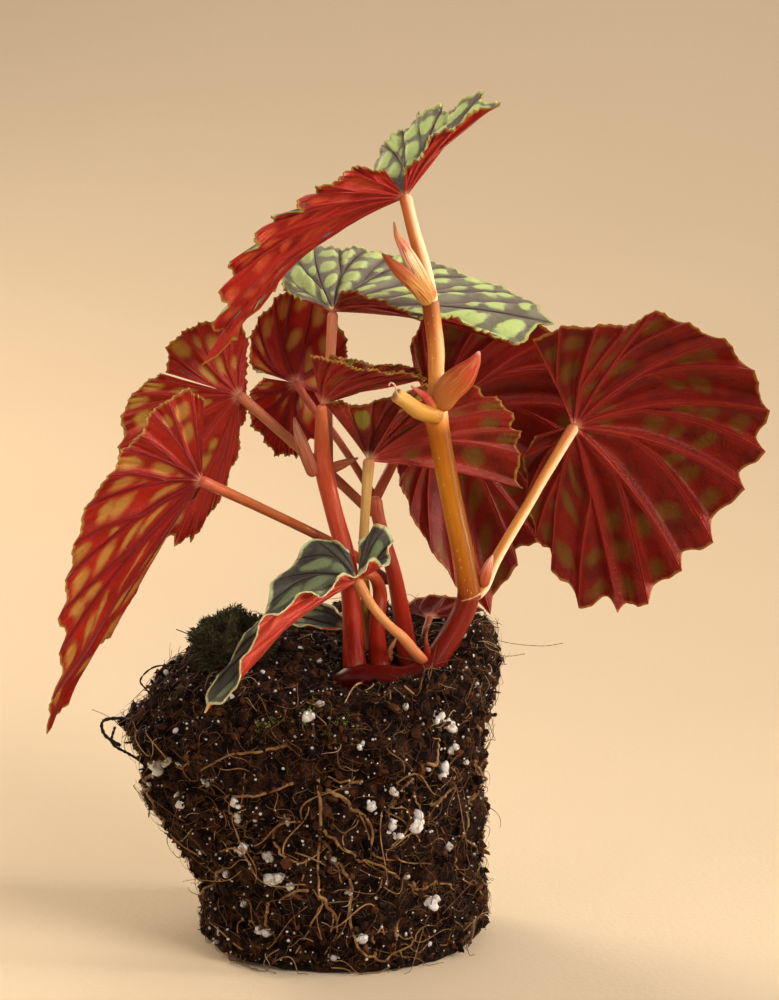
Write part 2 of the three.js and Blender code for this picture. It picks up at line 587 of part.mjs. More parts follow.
const begonia = new THREE.Group();
const placed = [];
for (const [name, solid, withClearance, colour] of pieces()) {
  const isBlade = name in BLADES;
  begonia.add(meshOf(isBlade ? solid : cutClear(solid, placed), name, colour));
  if (withClearance) placed.push(withClearance);
}

export default begonia;
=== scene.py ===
import math

import bmesh
import bpy
import numpy as np
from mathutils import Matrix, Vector


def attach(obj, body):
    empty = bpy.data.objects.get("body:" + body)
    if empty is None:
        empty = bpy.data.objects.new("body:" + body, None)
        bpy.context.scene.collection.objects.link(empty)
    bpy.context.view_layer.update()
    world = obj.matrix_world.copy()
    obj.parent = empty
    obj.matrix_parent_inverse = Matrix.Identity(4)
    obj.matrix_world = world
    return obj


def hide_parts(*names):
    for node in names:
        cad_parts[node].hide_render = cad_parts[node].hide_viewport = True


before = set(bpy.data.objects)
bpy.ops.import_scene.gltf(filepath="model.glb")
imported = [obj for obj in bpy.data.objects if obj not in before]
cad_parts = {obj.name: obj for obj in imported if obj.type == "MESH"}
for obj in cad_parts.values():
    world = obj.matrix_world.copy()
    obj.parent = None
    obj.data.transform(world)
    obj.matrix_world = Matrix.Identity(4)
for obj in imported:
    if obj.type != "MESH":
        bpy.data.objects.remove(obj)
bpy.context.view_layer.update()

MM = 0.001

# ---------------------------------------------------------------------------------------------
# The floor and the wall behind it: one sheet of matte cream paper, which curves up behind the
# plant so that no edge shows.
PAPER_COLOUR = (0.745, 0.58, 0.394, 1)
PAPER_CLOUD = (0.735, 0.569, 0.384, 1)
PAPER_HALF_WIDTH = 2.2
PAPER_FRONT = -2.6
PAPER_BACK = 0.5
PAPER_HEIGHT = 2.8
PAPER_BEND = 1.6  # radius of the curve between floor and wall
BEND_STEPS = 48


def mesh_object(name, points, faces, material, smooth=True):
    """A mesh of the given points and faces, placed in the scene with one material."""
    mesh = bpy.data.meshes.new(name)
    corners = faces if isinstance(faces, list) else faces.tolist()
    mesh.from_pydata(np.asarray(points).tolist(), [], corners)
    mesh.update()
    mesh.materials.append(material)
    if smooth:
        mesh.shade_smooth()
    made = bpy.data.objects.new(name, mesh)
    bpy.context.collection.objects.link(made)
    return made


def grid_faces(rows, columns, closed=False):
    """Quads between neighbouring rows of a rows x columns grid of points, counted row by row."""
    across = columns if closed else columns - 1
    row, column = np.meshgrid(np.arange(rows - 1), np.arange(across), indexing="ij")
    beside = (column + 1) % columns
    corners = [row * columns + column, row * columns + beside]
    corners += [(row + 1) * columns + beside, (row + 1) * columns + column]
    return np.stack(corners, axis=-1).reshape(-1, 4)


def finish_material(name, **constants):
    """A material, its node tree and its Principled shader, with the shader's constants set."""
    material = bpy.data.materials.new(name)
    material.use_nodes = True
    shader = material.node_tree.nodes["Principled BSDF"]
    for socket, value in constants.items():
        shader.inputs[socket.replace("_", " ").title().replace("Ior", "IOR")].default_value = value
    return material, material.node_tree, shader


def paper_sheet():
    """A flat front, a quarter circle and an upright wall, carried across the width."""
    bend = np.linspace(0, math.pi / 2, BEND_STEPS)
    depth = [PAPER_FRONT, *(PAPER_BACK + PAPER_BEND * np.sin(bend)), PAPER_BACK + PAPER_BEND]
    height = [0, *(PAPER_BEND * (1 - np.cos(bend))), PAPER_HEIGHT]
    across = np.linspace(-PAPER_HALF_WIDTH, PAPER_HALF_WIDTH, 3)
    x, profile = np.meshgrid(across, np.arange(len(depth)))
    points = np.stack([x, np.array(depth)[profile], np.array(height)[profile]], axis=-1)
    return points.reshape(-1, 3), grid_faces(len(depth), len(across))


def add_node(tree, kind, settings=None, **inputs):
    """A shader node with its settings, and with its inputs given as values or as other sockets. An
    input goes by its name, or by its number after an underscore."""
    made = tree.nodes.new(kind)
    for key, value in (settings or {}).items():
        setattr(made, key, value)
    for key, value in inputs.items():
        number = key[1:]
        socket = made.inputs[int(number) if number.isdigit() else key.replace("_", " ").title()]
        if isinstance(value, bpy.types.NodeSocket):
            tree.links.new(value, socket)
        else:
            socket.default_value = value
    return made


def blend_colours(tree, factor, first, second):
    """First where the factor is 0, second where it is 1."""
    mix = add_node(tree, "ShaderNodeMix", {"data_type": "RGBA"}, _0=factor, _6=first, _7=second)
    return mix.outputs[2]


def between(tree, value, low, high):
    """0 at low, 1 at high, and a smooth step from one to the other."""
    settings = {"interpolation_type": "SMOOTHSTEP"}
    step = add_node(tree, "ShaderNodeMapRange", settings, value=value, _1=low, _2=high)
    return step.outputs["Result"]


def object_noise(tree, scale, detail=4.0, roughness=0.6):
    """Noise on the object's own coordinates, with scale waves in a metre."""
    place = add_node(tree, "ShaderNodeTexCoord").outputs["Object"]
    grain = {"vector": place, "scale": scale, "detail": detail, "roughness": roughness}
    return add_node(tree, "ShaderNodeTexNoise", None, **grain).outputs["Fac"]


def paint(tree, shader, colour):
    """Gives the shader its colour from a socket."""
    tree.links.new(colour, shader.inputs["Base Color"])


def raise_surface(tree, shader, height, distance, strength=1.0):
    """Bump on the shader from a height, in metres."""
    relief = {"height": height, "distance": distance, "strength": strength}
    bump = add_node(tree, "ShaderNodeBump", None, **relief)
    tree.links.new(bump.outputs["Normal"], shader.inputs["Normal"])


def paper_material():
    """Cream paper, faintly cloudy, and rough with the fibres of its pulp."""
    material, tree, shader = finish_material("cream_paper", roughness=0.9)
    cloud = between(tree, object_noise(tree, scale=6, detail=3), 0.35, 0.65)
    paint(tree, shader, blend_colours(tree, cloud, PAPER_COLOUR, PAPER_CLOUD))
    raise_surface(tree, shader, object_noise(tree, scale=900, detail=3), distance=0.1 * MM)
    return material


paper = mesh_object("paper_backdrop", *paper_sheet(), paper_material())

# ---------------------------------------------------------------------------------------------
# The camera stands in front of the plant and looks down on it by ten degrees, as someone does who
# holds it at arm's length.
AIM = Vector((8.7, 0, 81)) * MM
DISTANCE = 620 * MM
LOOKING_DOWN = math.radians(10)
SEEN_HEIGHT = 180 * MM  # what the frame takes in at the plant, from top to bottom
SENSOR_WIDTH = 36

camera = bpy.data.objects.new("camera", bpy.data.cameras.new("camera"))
bpy.context.collection.objects.link(camera)
camera.data.sensor_width = SENSOR_WIDTH
camera.data.lens = SENSOR_WIDTH * DISTANCE / SEEN_HEIGHT
camera.location = AIM + DISTANCE * Vector((0, -math.cos(LOOKING_DOWN), math.sin(LOOKING_DOWN)))
camera.rotation_euler = (math.pi / 2 - LOOKING_DOWN, 0, 0)
bpy.context.scene.camera = camera

# ---------------------------------------------------------------------------------------------
# The light is that of a bright room in the afternoon: a large warm key from the front right, a
# weaker fill from the left, a warm one behind that glows through the blades, a faint one from the
# right that draws bright edges, and one high up behind, for the wall and the floor.
ROOM_LIGHT = (1.0, 0.93, 0.83, 1)
ROOM_STRENGTH = 0.29
LIGHTS = {  # place, width, power in watts, colour, and spread of the beam in degrees
    "key": ((0.75, -0.75, 0.75), 0.5, 11.5, (1.0, 0.95, 0.88)),
    "fill": ((-0.9, -0.7, 0.35), 0.8, 3.2, (1.0, 0.96, 0.92)),
    "glow": ((-0.55, 0.55, 0.5), 0.35, 4.5, (1.0, 0.84, 0.64)),
    "edge": ((0.9, -0.1, 0.32), 0.25, 0.2, (1.0, 0.93, 0.82), 24),
    "wall": ((0.0, 0.85, 1.5), 1.2, 7.7, (1.0, 0.95, 0.88)),
}


def area_light(name, place, width, watts, colour, spread=180):
    """A square lamp that faces the middle of the plant, with its beam spread over an angle."""
    lamp = bpy.data.lights.new(name, "AREA")
    lamp.size, lamp.energy, lamp.color = width, watts, colour
    lamp.spread = math.radians(spread)
    made = bpy.data.objects.new(name, lamp)
    made.location = place
    made.rotation_euler = (Vector(place) - AIM).to_track_quat("Z", "Y").to_euler()
    bpy.context.collection.objects.link(made)


for light_name, settings in LIGHTS.items():
    area_light(light_name, *settings)

room = bpy.data.worlds.new("room")
room.use_nodes = True
background = room.node_tree.nodes["Background"]
background.inputs["Color"].default_value = ROOM_LIGHT
background.inputs["Strength"].default_value = ROOM_STRENGTH
bpy.context.scene.world = room
bpy.context.scene.view_settings.view_transform = "Standard"

# ---------------------------------------------------------------------------------------------
# The soil of the root ball: black moist peat that kept the shape of its pot on the front, the right
# and the back, and that crumbled into a bulge on the left. Its underside is flat.
BALL_RADIUS = 25.2  # of the straight wall
FOOT_RADIUS = 22.5
SOIL_MIDDLE = 54
RHIZOME_BED = 49.6
BED = (9, -14)  # middle of the bed of the rhizome
BED_LENGTH, BED_WIDTH, BED_DEPTH = 13, 3.2, 1.3
FOOT = [(0, 0), (12, 0), (FOOT_RADIUS, 0)]
WALL = [(24.8, 1.2), (BALL_RADIUS, 4), (BALL_RADIUS, 13), (BALL_RADIUS, 22), (BALL_RADIUS, 30)]
FRONT_WALL = [(24.8, 1.2), (BALL_RADIUS, 4), (BALL_RADIUS, 12), (BALL_RADIUS, 20)]
FRONT_WALL += [(BALL_RADIUS, 28)]
# [distance from the axis, height] from the middle of the underside to the middle of the top
RIGHT_SIDE = FOOT + WALL + [(25.4, 37), (26.2, 43), (27.6, 49), (27.4, 55)]
RIGHT_SIDE += [(24.5, 58), (19, 56.5), (10, 54.5), (0, SOIL_MIDDLE)]
BACK_SIDE = FOOT + WALL + [(25.4, 37), (26, 43), (26.6, 49), (26, 53.5)]
BACK_SIDE += [(23.5, 56.5), (18, 55.5), (10, 54), (0, SOIL_MIDDLE)]
LEFT_SIDE = FOOT + [(25, 1.2), (25.5, 4), (25.9, 13), (31, 20.5), (35.3, 27.5)]
LEFT_SIDE += [(36.5, 33.5), (39.5, 40), (34.8, 44), (32.5, 48)]
LEFT_SIDE += [(26.5, 52.5), (20, 54.5), (10, 54.5), (0, SOIL_MIDDLE)]
FRONT_SIDE = FOOT + FRONT_WALL + [(BALL_RADIUS, 35), (25.6, 41), (25.4, 45.5), (23.5, 48.5)]
FRONT_SIDE += [(20, RHIZOME_BED), (14, 50.6), (7, 52.8), (0, SOIL_MIDDLE)]
BALL_LUMP = 0.45
LUMP_WAVES = ((1, 5, 0.35), (0.5, 3, 0.9), (0.7, 9, -0.5))  # height, waves round, turn per mm up
CLODS = ((3.4, 1.5), (1.5, 1.0), (0.7, 0.55))  # their size, and how far they stand out
CLOD_SEED = 11
BED_CALM = 0.8  # share of the clods that the bed of the rhizome lacks
SOIL_COLUMNS = 330
SOIL_STEPS = 13  # rows of points between two points of a profile
SOIL_BLACK = (0.0058, 0.0021, 0.0012, 1)
SOIL_BROWN = (0.056, 0.0198, 0.0078, 1)
SOIL_RUST = (0.11, 0.036, 0.012, 1)


def noise(points, cell, seed):
    """Smooth noise from -1 to 1: random values on a lattice of the given cell, eased between."""
    table = np.random.default_rng(seed).uniform(-1, 1, 4096)
    place = np.asarray(points) / cell
    low = np.floor(place).astype(int)
    ease = place - low
    ease = ease * ease * (3 - 2 * ease)
    total = 0
    for corner in np.ndindex(2, 2, 2):
        x, y, z = (low[..., i] + corner[i] for i in range(3))
        weight = np.prod(np.where(corner, ease, 1 - ease), axis=-1)
        total = total + weight * table[(x * 73 + y * 1009 + z * 2741 + (x ^ y) * 37) % 4096]
    return total


def smooth_curve(points, at):
    """The uniform Catmull-Rom curve through points (along the first axis) at places 0 to n - 1."""
    p = np.asarray(points, float)
    p = np.concatenate([2 * p[:1] - p[1:2], p, 2 * p[-1:] - p[-2:-1]])
    at = np.asarray(at, float)
    low = np.clip(np.floor(at).astype(int), 0, len(p) - 4)
    f = (at - low).reshape(at.shape + (1,) * (p.ndim - 1))
    a, b, c, d = (p[low + i] for i in range(4))
    square, cube = a - 2.5 * b + 2 * c - d / 2, 1.5 * (b - c) + (d - a) / 2
    return b + f * (c - a) / 2 + f**2 * square + f**3 * cube


def ball_profiles(angle):
    """The four sides' profiles blended by the squares of the cosine and the sine of the angle."""
    c, s = np.cos(angle)[None, :, None], np.sin(angle)[None, :, None]
    side = [np.array(p, float)[:, None, :] for p in (RIGHT_SIDE, LEFT_SIDE, BACK_SIDE, FRONT_SIDE)]
    return c**2 * np.where(c > 0, side[0], side[1]) + s**2 * np.where(s > 0, side[2], side[3])


def lump(angle, z):
    """How far the wall stands out: three waves round and up the ball, which die out at the foot."""
    waves = sum(height * np.sin(count * angle + turn * z) for height, count, turn in LUMP_WAVES)
    return BALL_LUMP * waves * np.clip(z / 6, 0, 1)


def ball_point(angle, r, z):
    """The point at an angle, a distance and a height, with the wall's lumps on the distance."""
    out = r + np.where(r > 5, lump(angle, z), 0)
    return np.stack([out * np.cos(angle), out * np.sin(angle), z + 0 * angle], axis=-1)


def clods(points):
    """How far clods and pits stand out from the soil, as the sum of three sizes of noise."""
    rise = sum(high * noise(points, cell, CLOD_SEED + i) for i, (cell, high) in enumerate(CLODS))
    return rise * np.clip(points[..., 2] / 2.5, 0, 1)


def grid_normals(points):
    """Outward normals of a grid of points that closes round its second axis."""
    up = np.gradient(points, axis=0)
    around = np.roll(points, -1, axis=1) - np.roll(points, 1, axis=1)
    normal = np.cross(around, up)
    return normal / np.maximum(np.linalg.norm(normal, axis=-1, keepdims=True), 1e-9)


def soil_grid():
    """The soil's points as rows from the underside to the top, and their outward normals. Under the
    rhizome the top is smoother and lies deeper, by BED_DEPTH exp(-(distance / BED_WIDTH)^2)."""
    angle = np.linspace(0, 2 * math.pi, SOIL_COLUMNS, endpoint=False)
    rows = len(RIGHT_SIDE)
    at = np.linspace(0, rows - 1, (rows - 1) * SOIL_STEPS + 1)[1:-1]
    profile = smooth_curve(ball_profiles(angle), at)
    points = ball_point(np.broadcast_to(angle, profile.shape[:2]), profile[..., 0], profile[..., 1])
    points[..., 2] = np.maximum(points[..., 2], 0)
    normals = grid_normals(points)
    past_end = np.maximum(np.abs(points[..., 0] - BED[0]) - BED_LENGTH / 2, 0)
    away = np.hypot(points[..., 1] - BED[1], past_end)
    bed = np.exp(-((away / BED_WIDTH) ** 2)) * (points[..., 2] > 45)
    rise = clods(points) * (1 - BED_CALM * bed) - BED_DEPTH * bed
    return points + normals * rise[..., None], normals


def close_poles(rows, columns):
    """The faces of a grid that is closed round, with a fan to a last point at each end."""
    count = rows * columns
    here, beside = np.arange(columns), (np.arange(columns) + 1) % columns
    bottom = np.stack([beside, here, np.full(columns, count)], axis=-1)
    last = (rows - 1) * columns
    top = np.stack([here + last, beside + last, np.full(columns, count + 1)], axis=-1)
    return grid_faces(rows, columns, closed=True).tolist() + bottom.tolist() + top.tolist()


def soil_material():
    """Black peat with brown and rust-coloured patches, a little wet in places."""
    material, tree, shader = finish_material("moist_peat", specular_ior_level=0.1)
    patches = between(tree, object_noise(tree, scale=420), 0.42, 0.68)
    rust = between(tree, object_noise(tree, scale=900, detail=2), 0.6, 0.74)
    dark = blend_colours(tree, patches, SOIL_BLACK, SOIL_BROWN)
    paint(tree, shader, blend_colours(tree, rust, dark, SOIL_RUST))
    dry = between(tree, object_noise(tree, scale=600, detail=3), 0.35, 0.6)
    wet, dull = 0.45, 0.95
    gloss = add_node(tree, "ShaderNodeMapRange", None, value=dry, _3=wet, _4=dull)
    tree.links.new(gloss.outputs["Result"], shader.inputs["Roughness"])
    grit = object_noise(tree, scale=2600, detail=5, roughness=0.75)
    raise_surface(tree, shader, grit, distance=0.8 * MM)
    return material


soil_points, soil_normals = soil_grid()
soil_ends = [[0, 0, 0], [0, 0, SOIL_MIDDLE]]
soil_skin = np.concatenate([soil_points.reshape(-1, 3), soil_ends]) * MM
soil_faces = close_poles(*soil_points.shape[:2])
soil = mesh_object("soil_surface", soil_skin, soil_faces, soil_material())
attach(soil, "root")
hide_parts("root_ball")

# ---------------------------------------------------------------------------------------------
# Loose crumbs of peat, splinters of bark and grit lie all over the soil and make its outline
# ragged. They stick to it by damp and by the roots.
CRUMBS = 7600
CRUMB_SIZES = (0.14, 0.85)  # smallest and largest radius
SMALL_CRUMBS = 3.2  # the larger, the more of the crumbs are small
SPLINTERS = 900
SPLINTER_LENGTHS = (1.0, 3.6)
FLOOR = 0.02  # lowest point of anything that lies on the soil


def pick_places(count, seed, lowest=1.2):
    """Random points of the soil and their normals, as likely everywhere by area."""
    rng = np.random.default_rng(seed)
    place = soil_points.reshape(-1, 3)
    up = np.gradient(soil_points, axis=0)
    around = np.roll(soil_points, -1, axis=1) - soil_points
    area = np.linalg.norm(np.cross(around, up), axis=-1).ravel() * (place[:, 2] > lowest)
    chosen = rng.choice(len(place), count, p=area / area.sum())
    return place[chosen], soil_normals.reshape(-1, 3)[chosen], rng


def turned(count, rng):
    """Random rotation matrices, from random unit quaternions."""
    w, x, y, z = (q := rng.normal(size=(4, count))) / np.linalg.norm(q, axis=0)
    rows = [[1 - 2 * (y * y + z * z), 2 * (x * y - z * w), 2 * (x * z + y * w)]]
    rows += [[2 * (x * y + z * w), 1 - 2 * (x * x + z * z), 2 * (y * z - x * w)]]
    rows += [[2 * (x * z - y * w), 2 * (y * z + x * w), 1 - 2 * (x * x + y * y)]]
    return np.moveaxis(np.array(rows), -1, 0)


def small_ball(divisions):
    """The points and faces of an icosphere of radius 1."""
    shape = bmesh.new()
    bmesh.ops.create_icosphere(shape, subdivisions=divisions, radius=1)
    points = np.array([v.co for v in shape.verts])
    faces = np.array([[v.index for v in f.verts] for f in shape.faces])
    shape.free()
    return points, faces


def many(points, faces, count):
    """The faces of count copies of a shape, whose points are stacked copy by copy."""
    return (faces[None] + np.arange(count)[:, None, None] * len(points)).reshape(-1, faces.shape[1])


def lumps(centres, sizes, stretch, jitter, divisions, rng):
    """Angular lumps: turned icospheres, with each point moved in or out by up to the jitter."""
    ball, faces = small_ball(divisions)
    reach = 1 + rng.uniform(-jitter, jitter, (len(centres), len(ball), 1))
    shape = ball[None] * reach * sizes[:, None, None] * stretch[:, None, :]
    shape = np.einsum("nij,npj->npi", turned(len(centres), rng), shape) + centres[:, None]
    shape[..., 2] = np.maximum(shape[..., 2], FLOOR)
    return shape.reshape(-1, 3), many(ball, faces, len(centres))


def add_piece(name, points, faces, material, slot, replaces=(), smooth=True, **fields):
    """A piece of the plant, with points in millimetres. Each field is one value for each point, for
    the material to read."""
    made = mesh_object(name, np.asarray(points) * MM, faces, material, smooth)
    for field_name, values in fields.items():
        stored = made.data.attributes.new(field_name, "FLOAT", "POINT").data
        stored.foreach_set("value", np.ravel(values).astype("f"))
    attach(made, "root")
    if replaces:
        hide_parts(*replaces)
    return made


def field(tree, name, output="Fac"):
    """A value that the mesh carries at each point."""
    return add_node(tree, "ShaderNodeAttribute", {"attribute_name": name}).outputs[output]


def crumb_material():
    """Each crumb has its own tone, from black peat through brown to rust-coloured bark."""
    material, tree, shader = finish_material("peat_crumbs", roughness=0.82, specular_ior_level=0.08)
    tone = field(tree, "tone")
    brown = blend_colours(tree, between(tree, tone, 0.3, 0.75), SOIL_BLACK, SOIL_BROWN)
    paint(tree, shader, blend_colours(tree, between(tree, tone, 0.84, 1.0), brown, SOIL_RUST))
    raise_surface(tree, shader, object_noise(tree, scale=4200, detail=3), distance=0.3 * MM)
    return material


def add_crumbs(name, centres, sizes, stretch, jitter, lightest, rng):
    """A piece of the soil made of angular lumps, each with its own tone from 1 - lightest to 1."""
    points, faces = lumps(centres, sizes, stretch, jitter, 1, rng)
    corners = len(points) // len(centres)
    tones = np.repeat(1 - lightest + lightest * rng.random(len(centres)), corners)
    add_piece(name, points, faces, crumb_finish, "soil", smooth=False, tone=tones)


crumb_finish = crumb_material()
places, outwards, rng = pick_places(CRUMBS, seed=21)
smallest, largest = CRUMB_SIZES
sizes = smallest + (largest - smallest) * rng.random(CRUMBS) ** SMALL_CRUMBS
stretch = rng.uniform(0.4, 1.5, (CRUMBS, 3))
add_crumbs("peat_crumbs", places + outwards * sizes[:, None] * 0.35, sizes, stretch, 0.36, 1, rng)

places, outwards, rng = pick_places(SPLINTERS, seed=22)
lengths = rng.uniform(*SPLINTER_LENGTHS, SPLINTERS)
width, thickness = rng.uniform(0.1, 0.22, SPLINTERS), rng.uniform(0.06, 0.12, SPLINTERS)
stretch = np.stack([np.ones(SPLINTERS), width, thickness], -1)
add_crumbs("bark_splinters", places + outwards * 0.25, lengths / 2, stretch, 0.15, 0.45, rng)

# ---------------------------------------------------------------------------------------------
# Perlite: puffed white volcanic glass in grains of 1 to 4 mm, stained pink and brown by the peat.
# The largest show on the front; the smallest are bright specks all round.
# [degrees to the right of the front, height, radius]
BIG_GRAINS = [
    (-25, 17.0, 1.9), (-20, 16, 1.1), (20, 27.5, 1.7), (30, 27, 1.9), (23, 25, 0.9),
    (-38, 22.5, 1.5), (-30, 21, 1.2), (-37, 31.5, 1.4), (-38, 28.5, 1.1), (-21, 28, 1.1),
    (12, 31, 1.2), (23, 33, 1.1), (-68, 36, 1.9), (-60, 37, 1.2), (-50, 34, 1.2), (44, 36, 1.6),
    (50, 39, 1.1), (45, 44, 1.7), (40, 46, 1.1), (8, 7, 1.4), (-33, 7, 1.3), (38, 12, 1.4),
    (-13, 47.5, 1.9), (-47, 48.5, 1.5), (8, 41.5, 1.1), (55, 33, 1.2), (-57, 30, 1.3), (4, 15, 0.8),
    (28, 17, 0.8), (47, 21, 1.1),
]
BACK_GRAINS = 16  # large ones on the sides and the back
PUFFS = 5  # lumps that make up a large grain
PUFF_SIZES = (0.3, 0.72)  # as shares of the grain's radius
GRAINS = 230
GRAIN_SIZES = (0.2, 1.0)
SPECKS = 1300
SPECK_SIZES = (0.1, 0.28)
PERLITE_WHITE = (0.88, 0.83, 0.78, 1)
PERLITE_STAIN = (0.42, 0.24, 0.17, 1)


def wall_point(degrees, z, out=0.0):
    """The point of the soil's wall at a height and at an angle to the right of the front."""
    angle = np.radians(np.asarray(degrees, float) - 90)
    sides = ball_profiles(np.atleast_1d(angle))[len(FOOT) : -4]
    heights = np.atleast_1d(np.asarray(z, float))
    r = np.array([np.interp(h, sides[:, i, 1], sides[:, i, 0]) for i, h in enumerate(heights)])
    base = ball_point(np.atleast_1d(angle), r, heights)
    outward = base * [1, 1, 0] / np.linalg.norm(base[:, :2], axis=-1, keepdims=True)
    return base + outward * (clods(base)[:, None] + out), outward


def perlite_material():
    """Chalky white with pinkish brown stains in its pits."""
    material, tree, shader = finish_material("perlite", roughness=0.7, specular_ior_level=0.4)
    stain = between(tree, object_noise(tree, scale=900), 0.5, 0.7)
    paint(tree, shader, blend_colours(tree, stain, PERLITE_WHITE, PERLITE_STAIN))
    pits = object_noise(tree, scale=3000, roughness=0.7)
    raise_surface(tree, shader, pits, distance=0.6 * MM)
    return material


perlite_finish = perlite_material()
places, outwards, rng = pick_places(GRAINS, seed=31)
behind = np.random.default_rng(33).uniform((75, 8, 0.9), (285, 46, 1.7), (BACK_GRAINS, 3))
puffs = np.repeat(np.concatenate([BIG_GRAINS, behind]), PUFFS, axis=0)
big, big_out = wall_point(puffs[:, 0], puffs[:, 1])
big = big + rng.normal(size=big.shape) * puffs[:, 2:] * 0.36
big_sizes = puffs[:, 2] * rng.uniform(*PUFF_SIZES, len(puffs))
small_sizes = rng.uniform(*GRAIN_SIZES, GRAINS) * rng.random(GRAINS)
sizes = np.concatenate([big_sizes, small_sizes])
centres = np.concatenate([big, places])
centres = centres + np.concatenate([big_out, outwards]) * sizes[:, None] * 0.15
stretch = rng.uniform(0.65, 1.25, (len(centres), 3))
grains = lumps(centres, sizes, stretch, jitter=0.2, divisions=2, rng=rng)
add_piece("perlite_grains", *grains, perlite_finish, "perlite")

places, outwards, rng = pick_places(SPECKS, seed=32)
sizes = rng.uniform(*SPECK_SIZES, SPECKS)
stretch = rng.uniform(0.7, 1.3, (SPECKS, 3))
specks = lumps(places + outwards * 0.35, sizes, stretch, jitter=0.2, divisions=1, rng=rng)
add_piece("perlite_specks", *specks, perlite_finish, "perlite", smooth=False)

# ---------------------------------------------------------------------------------------------
# The roots: tough tan threads that left the rhizome, reached the pot's wall and spread over it.
# The thick ones fork downwards on the front; finer ones cross everywhere and hold the soil.
FRONT_ROOTS = [
    [(-8, 36), (-8, 28), (-9, 22), (-9, 17), (-8, 12.5), (-19, 3)],
    [(-17, 35.5), (-29, 33), (-41, 32), (-40, 27), (-34, 23.5)],
    [(-19, 29), (-26, 26), (-23, 22.5), (-16, 20.5), (-9, 22)],
    [(-5, 34), (5, 30.5), (13, 27.5), (13, 22), (25, 20.5), (37, 19.5)],
    [(-7, 26.5), (3, 23), (21, 18), (43, 11)],
    [(-3, 21), (4, 17.5), (4, 8.5), (10, 4), (18, 3), (29, 5), (40, 8)],
    [(-21, 41.5), (-31, 40.5), (-40, 39.5), (-51, 34.5)],
    [(-47, 18), (-60, 14), (-72, 9.5)],
    [(22, 29.5), (29, 35), (35, 27)],
    [(8, 35), (2, 35), (-5, 36)],
    [(-8, 24), (-4, 22.5), (-1, 19.5), (1, 17.5)],
    [(-5, 34), (3, 31), (8, 29.5), (12, 24)],
    [(-28, 13), (-31, 9), (-28, 5)],
    [(-8, 15), (-3, 12), (-2, 8), (-6, 4)],
    [(30, 16), (36, 14.5), (44, 15), (52, 13)],
    [(21, 5), (24, 9), (28, 11)],
    [(13, 3.5), (13, 7), (17, 9)],
    [(-12, 16), (-19, 15), (-24, 13.5)],
    [(40, 30), (48, 33), (56, 34.5)],
    [(36, 38), (42, 37.5), (44, 41), (40, 42)],
]
ROOT_RADII = (0.34, 0.13)  # of a front root, at its start and at its tip
ROOT_STEPS = 40
WALL_ROOTS = 26  # of the same kind, on the sides and the back
SIDE_ROOTS = 70  # thinner ones across the lower front
SIDE_CHOICES = 3000  # places on the soil, of which they start at the first ones on the lower front
LOWER_FRONT = (-16, 38)  # which ends at this depth and this height
FINE_ROOTS = 700
HAIRS = 4800
ROOT_TAN = (0.32, 0.17, 0.055, 1)
ROOT_BROWN = (0.16, 0.065, 0.022, 1)
FINE_TAN = (0.2, 0.095, 0.032, 1)
HAIR_BROWN = (0.085, 0.03, 0.01, 1)


def strands(paths, radii, sides=6):
    """Round strands: a circle of each radius across each point of each path, joined along it."""
    ahead = np.gradient(paths, axis=1)
    ahead /= np.maximum(np.linalg.norm(ahead, axis=-1, keepdims=True), 1e-9)
    helper = np.where(np.abs(ahead[..., 2:]) < 0.8, [0.0, 0.0, 1.0], [1.0, 0.0, 0.0])
    aside = np.cross(ahead, helper)
    aside /= np.linalg.norm(aside, axis=-1, keepdims=True)
    over = np.cross(ahead, aside)
    turn = np.linspace(0, 2 * math.pi, sides, endpoint=False)[:, None]
    ring = np.cos(turn) * aside[:, :, None] + np.sin(turn) * over[:, :, None]
    points = paths[:, :, None] + ring * radii[:, :, None, None]
    count, steps = paths.shape[:2]
    faces = grid_faces(steps, sides, closed=True)
    caps = np.array([[0, i + 1, i] for i in range(1, sides - 1)])
    caps = np.concatenate([caps, caps[:, ::-1] + (steps - 1) * sides])
    shape = np.zeros(steps * sides)
    quads, ends = many(shape, faces, count), many(shape, caps, count)
    return points.reshape(-1, 3), quads.tolist() + ends.tolist()


def root_material(name, fresh, old):
    """Skin of the fresh colour, with patches of the old one and a slight sheen."""
    material, tree, shader = finish_material(name, roughness=0.5, specular_ior_level=0.25)
    worn = between(tree, object_noise(tree, scale=380, detail=3), 0.4, 0.65)
    paint(tree, shader, blend_colours(tree, worn, fresh, old))
    raise_surface(tree, shader, object_noise(tree, scale=5000, detail=3), distance=0.2 * MM)
    return material


def curve_through(places, steps):
    """A smooth path of so many points through all the places."""
    return smooth_curve(places, np.linspace(0, len(places) - 1, steps))


def laid_root(places):
    """A path over the wall through [angle, height] places, with small kinks."""
    angle, height = curve_through(places, ROOT_STEPS).T
    kinks = noise(np.stack([angle * 0.8, height * 0.8, 0 * angle], axis=-1), 2.0, 41)
    return wall_point(angle + 1.2 * kinks, np.clip(height + 0.4 * kinks, 0.6, 48), 0.3)[0]


def fallen_root(k):
    """Places that wind down the side or the back; root k starts further round than k - 1."""
    start = math.degrees(-0.5 + (k + 0.5) * 4 / WALL_ROOTS) + 90
    top = 42 - 13 * ((k * 0.618) % 1)
    return [(start + 9.2 * math.sin(2.1 * k + 1.3 * i), top * (1 - i / 6.5)) for i in range(6)]


root_finish = root_material("root_skin", ROOT_TAN, ROOT_BROWN)
routes = FRONT_ROOTS + [fallen_root(k) for k in range(WALL_ROOTS)]
radii = np.tile(np.linspace(*ROOT_RADII, ROOT_STEPS), (len(routes), 1))
network = strands(np.array([laid_root(route) for route in routes]), radii, sides=8)
add_piece("root_network", *network, root_finish, "root")


